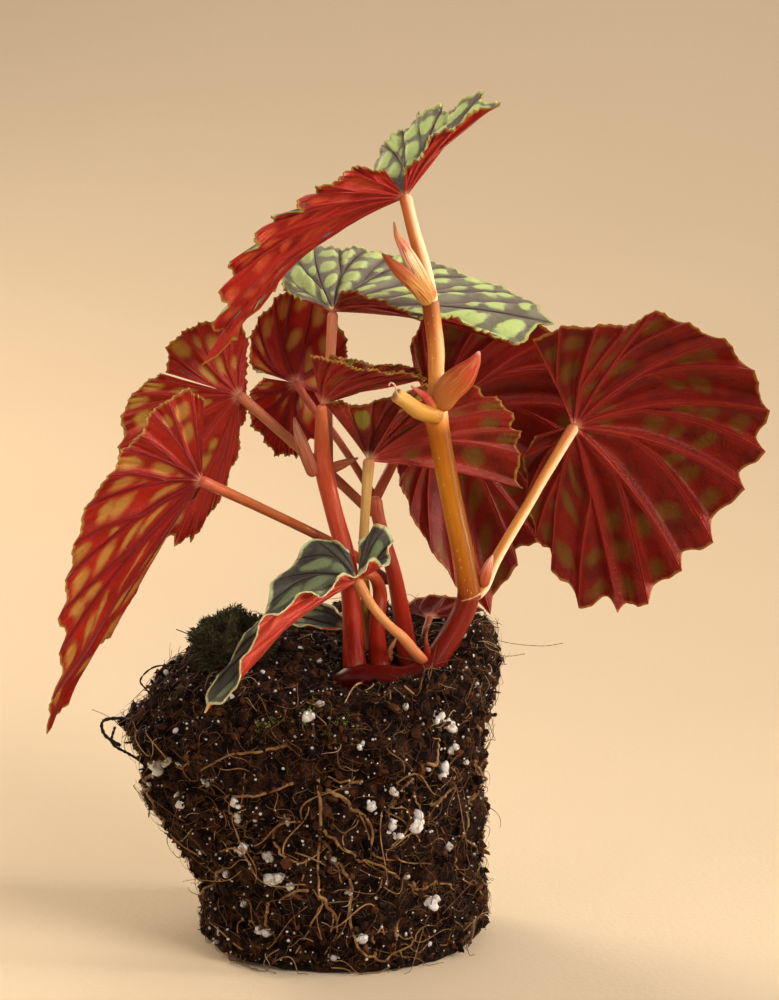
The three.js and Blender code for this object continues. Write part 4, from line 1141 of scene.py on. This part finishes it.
# stalk: where the stalk meets the blade; veins: where the veins end, counterclockwise from above;
# apex: the number of the vein that ends in the tip; arch: how far the blade bows up, in mm;
# pleat: height of a fold, in gaps between veins; tooth: how far the margin draws in between two
# main teeth, as a share; fine, frill and puff: depth of the small teeth, height of the margin's
# waves and of the raised spots, in mm; missing: the share of the spots that are missing; look: its
# colours
LEAVES = {
    "leaf_top": {
        "stalk": (11.5, 0, 135.5), "apex": 18, "arch": 4.2, "pleat": 0.17,
        "tooth": 0.15, "fine": 0.4, "frill": 1.0, "puff": 0.45, "missing": 0.0, "look": "crimson",
        "veins": [
            (11.5, -3.5, 140), (13, -4, 142.5), (15.5, -4.5, 145.5), (18.5, -4.5, 148),
            (22.5, -4, 150), (28.5, 0, 152), (25.5, 5, 154), (21, 8, 151.5), (18, 10, 151.5),
            (14, 12, 150), (11, 13, 146.5), (7.5, 13, 143.5), (2, 13, 136.5), (-4, 12, 131),
            (-10, 11, 125), (-15.5, 9, 118), (-17.5, 5, 113), (-20.5, 2.5, 110), (-25, 0, 105.5),
            (-23, -3, 113), (-21.5, -5, 119), (-19.5, -6, 124.5), (-15, -7, 129.5),
            (-11.5, -7.5, 132.5), (-7.5, -8, 135.5), (-3.5, -8, 138), (0.5, -7.5, 140.5),
            (4, -6.5, 141.5), (7.5, -4.5, 141),
        ],
    },
    "leaf_green": {
        "stalk": (-1.5, 6, 114.5), "apex": 8, "arch": 2, "pleat": 0.2,
        "tooth": 0.05, "fine": 0.3, "frill": 0.35, "puff": 0.5, "missing": 0.0, "look": "dark",
        "veins": [
            (0, 1, 118.5), (4, -1, 118), (9.5, -2, 116), (13.5, -2, 114), (18, -1, 113.5),
            (23.5, 1, 112), (28.5, 3, 110), (32, 5, 108.5), (38.5, 10, 111.5), (35.5, 16, 114),
            (32, 19, 115.5), (28.5, 22, 117), (24, 25, 118.5), (19.5, 27, 120), (14.5, 28, 121),
            (9.5, 29, 122), (4.5, 30, 123), (-0.5, 30, 123), (-5.5, 27, 124), (-9, 22, 122.5),
            (-11.5, 15, 120), (-10.5, 10, 118), (-7, 7, 116.5),
        ],
    },
    "leaf_right": {
        "stalk": (42, 5, 93.5), "apex": 14, "arch": 2.5, "pleat": 0.27,
        "tooth": 0.06, "fine": 0.2, "frill": 0.35, "puff": 0.15, "missing": 0.35, "look": "dark",
        "veins": [
            (34.5, 5, 109.5), (39.5, 2, 112.5), (46, 0, 113), (51.5, -1, 113), (56, -2, 115.5),
            (62, -2, 113.5), (68.5, -1, 110.5), (74, 0, 104.5), (77, 1, 97), (76.5, 2, 89.5),
            (73, 3, 82.5), (67.5, 4, 72.5), (62, 5, 67), (56, 6, 60.5), (50.5, 8, 58.5),
            (43.5, 10, 59), (38.5, 11, 66), (35.5, 12, 71.5), (33.5, 11, 79), (33, 9, 87.5),
            (35, 7, 91.5),
        ],
    },
    "leaf_back_right": {
        "stalk": (18, 18, 92), "apex": 14, "arch": 2.5, "pleat": 0.22,
        "tooth": 0.06, "fine": 0.25, "frill": 0.3, "puff": 0.15, "missing": 0.5, "look": "dark",
        "veins": [
            (13.5, 17, 101.5), (12.5, 16, 107), (14.5, 15, 112.5), (20, 15, 114.5), (27, 15, 114),
            (34.5, 17, 112), (40, 19, 108.5), (44.5, 21, 101.5), (46, 22, 94), (45.5, 22, 86),
            (43, 22, 78.5), (39.5, 21, 73), (36.5, 20, 69.5), (32.5, 18, 65.5), (27.5, 16, 56.5),
            (21, 15, 62), (16.5, 15, 68.5), (12.5, 15, 75.5), (10.5, 15, 81), (9, 16, 87),
        ],
    },
    "leaf_centre": {
        "stalk": (5, -2, 88.5), "apex": 8, "arch": 1, "pleat": 0.16,
        "tooth": 0.05, "fine": 0.2, "frill": 0.3, "puff": 0.15, "missing": 0.5, "look": "bronze",
        "veins": [
            (10.5, -3.5, 97.5), (15, 2.5, 99.5), (19, 3.5, 101), (24, 3, 101.5), (28, 2.5, 99.5),
            (31, 3, 96.5), (32.5, 4, 93), (32.5, 5, 88.5), (33, 6, 82), (29, 7, 84),
            (25, 8, 86.5), (22, 9, 90.5), (19, 9.5, 96.5), (15.5, 9, 101), (11, 7, 99.5),
            (6, 5, 98.5), (1.5, 4, 98), (-0.5, 3, 99), (-3, 2, 98.5),
        ],
    },
    "leaf_young": {
        "stalk": (-3.5, -1, 98.5), "apex": 8, "arch": 0.5, "pleat": 0.28,
        "tooth": 0.05, "fine": 0.3, "frill": 0.4, "puff": 0.0, "missing": 0.5, "look": "bronze",
        "veins": [
            (-5.5, -1, 107.5), (-3.5, -3, 107.5), (-1, -4, 107), (2, -4, 106), (5, -4, 105.5),
            (8, -3.5, 105), (11, -3, 105), (13, -2.5, 104.5), (15.5, -0.5, 103), (14, 0.5, 105),
            (11, 1.5, 105.5), (7.5, 2, 105.5), (4, 2.5, 106), (1, 2.5, 106.5), (-2, 2, 107.5),
        ],
    },
    "leaf_left_front": {
        "stalk": (-24.5, -9, 86), "apex": 8, "arch": 2, "pleat": 0.2,
        "tooth": 0.05, "fine": 0.25, "frill": 0.35, "puff": 0.2, "missing": 0.3, "look": "gold",
        "veins": [
            (-26, -5, 82), (-29, -3, 79.5), (-32.5, -1.5, 74.5), (-35.5, -1, 69), (-38, -1, 63),
            (-41, -2, 57.5), (-46, -3, 51), (-48.5, -5, 46), (-53, -9, 40), (-51.5, -12, 47),
            (-50, -13, 55.5), (-50, -14, 62), (-48.5, -14.5, 69), (-47, -15, 75.5), (-45, -15, 82),
            (-41, -15, 88), (-38.5, -14.5, 92.5), (-35.5, -14, 95), (-33.5, -13, 99),
            (-30.5, -12, 101), (-26.5, -10.5, 103), (-24, -9.5, 101),
        ],
    },
    "leaf_left_back": {
        "stalk": (-18.5, 10, 98.5), "apex": 16, "arch": 2, "pleat": 0.18,
        "tooth": 0.05, "fine": 0.3, "frill": 0.3, "puff": 0.15, "missing": 0.25, "look": "olive",
        "veins": [
            (-32, 9, 103), (-32, 9, 107.5), (-29, 9, 110.5), (-26, 10, 112), (-22, 11, 113),
            (-19, 12, 112.5), (-17, 12.5, 109), (-17, 13, 105), (-17, 13, 100.5), (-17, 12.5, 96.5),
            (-17.5, 11.5, 93.5), (-19, 10.5, 90.5), (-19.5, 10, 86.5), (-21, 9, 83), (-22.5, 8, 79),
            (-25.5, 7, 74.5), (-27.5, 6, 72), (-30.5, 5, 71.5), (-33.5, 4, 73.5), (-37, 3, 78.5),
            (-39.5, 3, 84), (-40.5, 4, 90), (-40, 5, 95.5), (-38, 6, 99.5), (-35, 7, 102),
            (-33, 7.5, 103),
        ],
    },
    "leaf_mid_back": {
        "stalk": (-8.5, 16, 100), "apex": 5, "arch": 1.5, "pleat": 0.18,
        "tooth": 0.06, "fine": 0.3, "frill": 0.3, "puff": 0.15, "missing": 0.25, "look": "gold",
        "veins": [
            (-14.5, 15, 102.5), (-17, 15.5, 104), (-17, 17, 108.5), (-15.5, 18, 112),
            (-12.5, 19, 115.5), (-9, 20, 117.5), (-5, 21, 117), (-1.5, 21, 112.5), (1, 20, 107.5),
            (1, 19, 104.5), (0, 18, 99.5), (-2, 17, 94.5), (-5, 16, 89.5), (-8.5, 15, 86),
            (-10.5, 14.5, 86.5), (-12.5, 14.5, 86.5), (-14.5, 15, 89), (-17, 15.5, 92),
            (-17.5, 15.5, 95.5), (-17, 15.5, 98.5), (-14.5, 15.5, 101),
        ],
    },
    "leaf_low_front": {
        "stalk": (3, -14, 69), "apex": 10, "arch": 2, "pleat": 0.14,
        "tooth": 0.02, "fine": 0.06, "frill": 0.95, "puff": 0.2, "missing": 0.4, "look": "low",
        "veins": [
            (1.5, -10, 73.5), (-1.5, -8, 75), (-5, -7, 75), (-8, -9, 71.5), (-12, -12, 68.5),
            (-13, -17, 65), (-15.5, -22, 62), (-18.5, -27, 58.5), (-20.5, -30, 56),
            (-22.5, -32.5, 53.5), (-23, -35, 50), (-20, -36.5, 52), (-17, -37, 57.5),
            (-15.5, -36, 61), (-14, -34, 65), (-10.5, -31, 66.5), (-7.5, -28, 69), (-3.5, -25, 68),
            (-0.5, -21, 70.5), (2.5, -18, 70.5), (5, -18, 73), (7.5, -17, 72), (9, -15, 73.5),
            (9.5, -13, 76), (8, -12, 78.5), (6, -11.5, 78.5), (4.5, -11.5, 76.5), (4, -12, 74),
        ],
    },
    "leaf_low_right": {
        "stalk": (16, 4, 58.5), "apex": 4, "arch": 0.5, "pleat": 0.1,
        "tooth": 0.01, "fine": 0.0, "frill": 0.1, "puff": 0.0, "missing": 1.0, "look": "maroon",
        "veins": [
            (11.5, 7, 59), (12, 8, 60), (13.5, 9, 61), (16, 9.5, 61.5), (19, 9.5, 61.5),
            (21.5, 9.5, 61), (24, 9, 60), (26, 8, 59),
        ],
    },
    "leaf_low_back": {
        "stalk": (0.5, 8, 55.5), "apex": 4, "arch": 0.5, "pleat": 0.1,
        "tooth": 0.01, "fine": 0.0, "frill": 0.3, "puff": 0.1, "missing": 0.3, "look": "low",
        "veins": [
            (0.5, 6, 58), (-1.5, 8, 59.5), (-4.5, 11, 60), (-7.5, 14, 58.5), (-9.5, 14, 56.5),
            (-9.5, 11, 55.5), (-7.5, 8, 55.5), (-4, 6, 56),
        ],
    },
}
# colours of tissue, its darker patches, veins, spots and rim
GREEN_FACE = ("807e68", "686254", "6c5f58", "b2c47c", "a8b468")
LOOKS = {  # of the underside, then of the upper face
    "crimson": (("941810", "640c0a", "9c261e", "ac4628", "8c6c28"), GREEN_FACE),
    # Painted shade: the dark look is a darker copy of the underside colours, for the blades at the
    # right and the back that get less light through them.
    "dark": (("6c1109", "4c0c05", "84221a", "5c3c12", "86581e"), GREEN_FACE),
    "maroon": (
        ("4a0a04", "340503", "580e07", "4a0a04", "94602e"),
        ("54503c", "3c3a30", "4c4640", "74805a", "a8b468"),
    ),
    # Painted light: this look's underside is brighter and more orange than the dark look, with
    # golden spots, as if lit through from behind.
    "gold": (("982014", "7c180d", "781a1a", "a67a38", "8c6c28"), GREEN_FACE),
    "olive": (("8e2010", "6c160a", "98281e", "a07c34", "8c6c28"), GREEN_FACE),
    "bronze": (
        ("801c10", "541008", "8c2c22", "68461a", "9c7434"),
        ("842812", "5c180a", "6e2014", "7c6c24", "8c6c2c"),
    ),
    "low": (
        ("a02616", "74200e", "b03a2a", "a84824", "b8b080"),
        ("56584a", "3c3a34", "4a443e", "74805a", "b0b484"),
    ),
}
SHOWN_GREEN = {"leaf_top", "leaf_green", "leaf_low_front", "leaf_low_back"}  # face up
BLADE_STEPS = 12  # columns between two veins
BLADE_RINGS = 36
INNER_RING = 0.03  # the first ring of points, as a share of the way out
RINGS_OUT = 1.12  # the larger, the closer the rings lie at the margin
FORKS = (0.28, 0.5)  # share of the way out where a vein forks off its neighbour
VEIN_TURN = 1.2  # in gaps
LEAN = 1.9  # how much folds and teeth lean towards the apex; 1 is upright
MERGED = 0.06  # how far apart two veins run before their fork, in gaps
NEARBY = 0.02  # how far off the margin's direction is taken, in gaps
BUCKLE, BUCKLE_SIZE = 0.5, 8  # height and size of the blade's random waves
TOOTH_DEPTHS = (0.4, 1.3)  # least and largest, as shares of the blade's tooth
VEIN, VEIN_TAPER = 0.26, 0.15  # half width at the stalk, and how much less it is at the margin
HALF_THICKNESS = (0.18, 0.12)  # at the stalk and at the margin
SMOOTHING = 0.4  # of the directions in which a blade is thickened
SHARP_EDGE = math.radians(55)
SPOT_ROWS = 6
SPOT_FIRST, SPOT_PITCH = 3.3, 5.6  # from the margin to the first row of spots, and between rows
SPOT_JITTER, SPOT_SHIFT = 1.4, 0.07  # in mm along the gap, and as a share of the gap's width
SPOT_LENGTHS, SPOT_WIDTHS = (1.3, 2.2), (1.3, 2.4)  # half lengths, and largest half widths
SPOT_SHARES = (0.3, 0.4)  # half width as a share of the gap's width
NARROW_GAP = 2.1  # where spots begin to fade
FAR = 9  # a field's value where nothing is near


def blade_columns(count, apex, t, rng):
    """Where the columns of points run, as vein numbers u, at each share t of the way out. Each odd
    vein leaves its left neighbour at its fork, and is (t - fork) / ((1 - fork) t) vein numbers away
    from it. Between two veins the columns are evenly spaced. All start turned away from the apex by
    VEIN_TURN (1 - t), most of all half-way to it, so that they curve towards it. Gives also each
    column's share of its gap, the gap's width in vein numbers and the gap's number."""
    fork = rng.uniform(*FORKS, count)
    fork[-1] *= count % 2
    odd = np.arange(count) % 2
    path = np.arange(count) - odd * (1 - np.clip((t - fork) / ((1 - fork) * t), MERGED, 1))
    column = np.arange((count - 1) * BLADE_STEPS + 1)
    gap = np.minimum(column // BLADE_STEPS, count - 2)
    part = column / BLADE_STEPS - gap
    left, wide = path[:, gap], path[:, gap + 1] - path[:, gap]
    u = left + part * wide
    before, after = np.clip(u / apex, 0, 1), np.clip((u - apex) / (count - 1 - apex), 0, 1)
    turn = np.sin(math.pi * after) - np.sin(math.pi * before)
    return u + VEIN_TURN * (1 - t) * turn, part, wide, gap


def spot_field(part, wide_mm, inward, gap, missing, rng):
    """How far a point is from the nearest spot's middle, as a share of the spot's own size. The
    spots lie in rows between the veins, at jittered distances from the margin. Some are missing,
    and narrow gaps have none."""
    count = gap.max() + 1
    nearest = np.full(wide_mm.shape, float(FAR))
    for row in range(SPOT_ROWS):
        middle = SPOT_FIRST + SPOT_PITCH * row + rng.uniform(-SPOT_JITTER, SPOT_JITTER, count)
        middle = np.where(rng.random(count) < missing, np.inf, middle)[gap]
        long = rng.uniform(*SPOT_LENGTHS, count)[gap]
        share = rng.uniform(*SPOT_SHARES, count)[gap]
        broad = np.minimum(share * wide_mm, rng.uniform(*SPOT_WIDTHS, count)[gap])
        side = 0.5 + rng.uniform(-SPOT_SHIFT, SPOT_SHIFT, count)[gap]
        away = np.hypot((part - side) * wide_mm / broad, (inward - middle) / long)
        nearest = np.minimum(nearest, away)
    return nearest + 2 * np.clip(NARROW_GAP - wide_mm, 0, 1.5)


def blade_surface(stalk, veins, apex, arch, pleat, tooth, fine, frill, puff, missing, seed):
    """The middle surface of a blade: a quadratic curve along each column, from the stalk A to E on
    the margin, over A + (E - A) / 2 + 2 arch (length / longest)^2 up. Between two veins it rises by
    pleat times the gap's width times sin(pi part^LEAN)^1.2, and E draws in by the tooth and by
    smaller teeth. Folds and teeth lean towards the apex. Gives its points as rows from the stalk
    outwards, and the fields of its skin."""
    rng = np.random.default_rng(seed)
    a, ends = np.array(stalk, float), np.array(veins, float)
    inwards = 1 - np.linspace(0, 1, BLADE_RINGS)[:, None]
    t = 1 - (1 - INNER_RING) * inwards**RINGS_OUT
    u, part, wide, gap = blade_columns(len(ends), apex, t, rng)
    margin = smooth_curve(ends, u)
    tangent = (smooth_curve(ends, u + NEARBY) - smooth_curve(ends, u - NEARBY)) / (2 * NEARBY)
    along = margin - a
    length = np.linalg.norm(along, axis=-1, keepdims=True)
    skewed = np.where(gap < apex, part**LEAN, 1 - (1 - part) ** LEAN)
    depth = tooth * rng.uniform(*TOOTH_DEPTHS, len(ends))[gap]
    drawn = (depth * (1 - np.abs(2 * skewed - 1) ** 1.5))[None, :, None]
    drawn = drawn + fine / length * np.abs(np.sin(3 * math.pi * part))[None, :, None]
    along = along * (1 - drawn)
    up = np.cross(ends[:-1] - a, ends[1:] - a).sum(axis=0)
    up /= np.linalg.norm(up)
    t = t[..., None]
    middle = along / 2 + 2 * arch * (length / length.max()) ** 2 * up
    points = a + 2 * t * (1 - t) * middle + t**2 * along
    rising = np.cross(along, tangent)
    area = np.linalg.norm(rising, axis=-1, keepdims=True)
    rising /= area
    gap_mm = wide[..., None] * area / length
    fold = np.sin(math.pi * skewed)[None, :, None] ** 1.2
    points = points + rising * pleat * gap_mm * fold * t
    points = points + rising * (BUCKLE * t * noise(points, BUCKLE_SIZE, seed)[..., None])
    waves = frill * np.sin(math.pi * u) + fine * np.sin(6 * math.pi * part)
    points = points + rising * t**9 * waves[..., None]
    wide_mm = (gap_mm * t)[..., 0]
    inward = ((1 - t) * length)[..., 0]
    vein = np.minimum(part, 1 - part) * wide_mm / (VEIN - VEIN_TAPER * t[..., 0])
    steep = np.where(gap < apex, 1 - part, part) * wide_mm
    spot = spot_field(part[None], wide_mm, inward, gap, missing, rng)
    points = points + rising * puff * np.exp(-(spot**2))[..., None]
    skin = {"vein": np.minimum(vein, FAR), "steep": steep, "spot": spot, "inward": inward}
    return points, skin | {"reach": (t * length)[..., 0]}


def blade_skin(points, stalk):
    """Both faces of a blade, moved apart along the sum of the normal and SMOOTHING times its mean
    over the width of one gap, so that the faces don't cross at the folds, and the walls round its
    margin and along its two straight edges. Gives the points, of which the last two are at the
    stalk, then the quads and triangles, and how many of these are of the upper face. They come
    first."""
    rows, columns = points.shape[:2]
    normal = np.cross(np.gradient(points, axis=0), np.gradient(points, axis=1))
    normal /= np.linalg.norm(normal, axis=-1, keepdims=True)
    half_gap = BLADE_STEPS // 2
    beside = np.arange(columns) + np.arange(-half_gap, half_gap + 1)[:, None]
    normal = normal + SMOOTHING * normal[:, np.clip(beside, 0, columns - 1)].mean(axis=1)
    normal /= np.linalg.norm(normal, axis=-1, keepdims=True)
    half = np.linspace(*HALF_THICKNESS, rows)[:, None, None]
    inner = normal[0].mean(axis=0) * HALF_THICKNESS[0]
    upper, under = points + normal * half, points - normal * half
    stalk_points = [stalk + inner, stalk - inner]
    skin = np.concatenate([upper.reshape(-1, 3), under.reshape(-1, 3), stalk_points])
    count = rows * columns
    above, below = 2 * count, 2 * count + 1
    top = grid_faces(rows, columns)[:, ::-1]
    first, beside = np.arange(columns - 1), np.arange(1, columns)
    margin = (rows - 1) * columns
    fan_up = np.stack([np.full(columns - 1, above), first, beside], axis=-1)
    fan_down = np.stack([np.full(columns - 1, below), beside + count, first + count], axis=-1)
    rim = np.stack([first, first + count, beside + count, beside], axis=-1) + margin
    walls = []
    for edge, flip in ((0, False), (columns - 1, True)):
        over = np.append(above, np.arange(rows) * columns + edge)
        down = np.append(below, np.arange(rows) * columns + edge + count)
        wall = np.stack([over[:-1], down[:-1], down[1:], over[1:]], axis=-1)
        walls += (wall[:, ::-1] if flip else wall).tolist()
    upper_faces = top.tolist() + fan_up.tolist()
    other = (top[:, ::-1] + count).tolist() + fan_down.tolist() + rim.tolist() + walls
    return skin, upper_faces + other, len(upper_faces)


def leaf_pattern_group():
    """The masks of a blade's skin, from the fields of its mesh: the veins and their fine net, with
    a painted highlight in the veins' colour on the steep side of each fold, as if light caught it
    there, the spots, the rim and the star where the stalk ends."""
    inputs = dict.fromkeys(("Spot Size", "Spot Blur", "Rim Width", "Blush"), "NodeSocketFloat")
    outputs = ("Veins", "Spots", "Rim", "Star", "Patches", "Relief")
    group, given, out = new_group("leaf_pattern", inputs, outputs)
    vein = field(group, "vein")
    waver = maths(group, "SUBTRACT", object_noise(group, scale=700, detail=3), 0.5)
    spot = maths(group, "DIVIDE", field(group, "spot"), given["Spot Size"])
    spot = maths(group, "ADD", spot, maths(group, "MULTIPLY", waver, 0.6))
    outside = maths(group, "ADD", given["Spot Blur"], 1)
    inside = maths(group, "SUBTRACT", 1, given["Spot Blur"])
    inward = maths(group, "DIVIDE", field(group, "inward"), given["Rim Width"])
    inward = maths(group, "ADD", inward, maths(group, "MULTIPLY", waver, 1.6))
    # Painted highlight: the steep flank of each fold takes the veins' colour, as if lit.
    blush = between(group, field(group, "steep"), 2.4, 0.2)
    blush = maths(group, "MULTIPLY", blush, given["Blush"])
    place = add_node(group, "ShaderNodeTexCoord").outputs["Object"]
    edges = {"feature": "DISTANCE_TO_EDGE"}
    net = add_node(group, "ShaderNodeTexVoronoi", edges, scale=900.0, vector=place)
    mesh = maths(group, "MULTIPLY", between(group, net.outputs["Distance"], 0.0, 0.22), -0.16)
    masks = {
        "Veins": maths(group, "MAXIMUM", between(group, vein, 5.0, 0.0), blush),
        "Spots": between(group, spot, outside, inside),
        "Rim": between(group, inward, 1.3, 0.5),
        "Star": between(group, field(group, "reach"), 2.2, 0.5),
        "Patches": between(group, object_noise(group, scale=190), 0.38, 0.66),
        "Relief": maths(group, "ADD", between(group, vein, 1.7, 0.0), mesh),
    }
    for socket, value in masks.items():
        group.links.new(value, out[socket])
    return group


leaf_pattern = leaf_pattern_group()


def leaf_material(name, colours, face):
    """One face of a blade: its tissue with darker patches, spots, veins, star and rim over it."""
    material, tree, shader = finish_material(
        name, roughness=0.43, specular_ior_level=face["gloss"], specular_tint=face["tint"],
        subsurface_weight=0.22, subsurface_scale=1.2 * MM, subsurface_radius=(1.0, 0.3, 0.12),
        sheen_weight=0.06, sheen_roughness=0.4, sheen_tint=(1.0, 0.45, 0.42, 1),
    )
    settings = {"node_tree": leaf_pattern}
    pattern = add_node(tree, "ShaderNodeGroup", settings, **face["pattern"]).outputs
    tissue, patch, vein, spot, rim = (shade(code) for code in colours)
    colour = blend_colours(tree, pattern["Patches"], tissue, patch)
    over = {"Spots": spot, "Veins": vein, "Rim": rim, "Star": shade(face["star"])}
    for mask, second in over.items():
        colour = blend_colours(tree, pattern[mask], colour, second)
    paint(tree, shader, colour)
    raise_surface(tree, shader, pattern["Relief"], distance=face["relief"], strength=0.8)
    return material


FACES = {
    "upper": {
        "pattern": {"spot_size": 1.08, "spot_blur": 0.2, "rim_width": 0.6, "blush": 0.0},
        "star": "b8a878", "relief": -0.3 * MM, "gloss": 0.12, "tint": (1, 1, 1, 1),
    },
    # The under face has a painted highlight on the steep flanks of its folds; the upper face has
    # none.
    "under": {
        "pattern": {"spot_size": 0.95, "spot_blur": 0.5, "rim_width": 0.45, "blush": 0.27},
        "star": "c87860", "relief": 0.22 * MM, "gloss": 0.38, "tint": (1, 0.4, 0.33, 1),
    },
}
AT_STALK = {"vein": 0, "steep": 0, "spot": FAR, "inward": FAR, "reach": 0}
finishes = {
    (look, face): leaf_material(f"{look}_{face}", colours, FACES[face])
    for look, (under, upper) in LOOKS.items()
    for face, colours in (("upper", upper), ("under", under))
}
for seed, (leaf_name, leaf) in enumerate(LEAVES.items(), start=60):
    shape = {key: value for key, value in leaf.items() if key != "look"}
    points, skin = blade_surface(**shape, seed=seed)
    points, faces, upper_count = blade_skin(points, np.array(leaf["stalk"], float))
    for key, values in skin.items():
        skin[key] = np.concatenate([values.ravel(), values.ravel(), [AT_STALK[key]] * 2])
    upper, under = finishes[leaf["look"], "upper"], finishes[leaf["look"], "under"]
    blade_name = leaf_name.replace("leaf", "blade")
    slot = "leaf_green" if leaf_name in SHOWN_GREEN else "leaf_red"
    blade = add_piece(blade_name, points, faces, upper, slot, [leaf_name], **skin)
    blade.data.materials.append(under)
    is_under = (np.arange(len(faces)) >= upper_count).astype(np.int32)
    blade.data.polygons.foreach_set("material_index", is_under)
    blade.data.set_sharp_from_angle(angle=SHARP_EDGE)
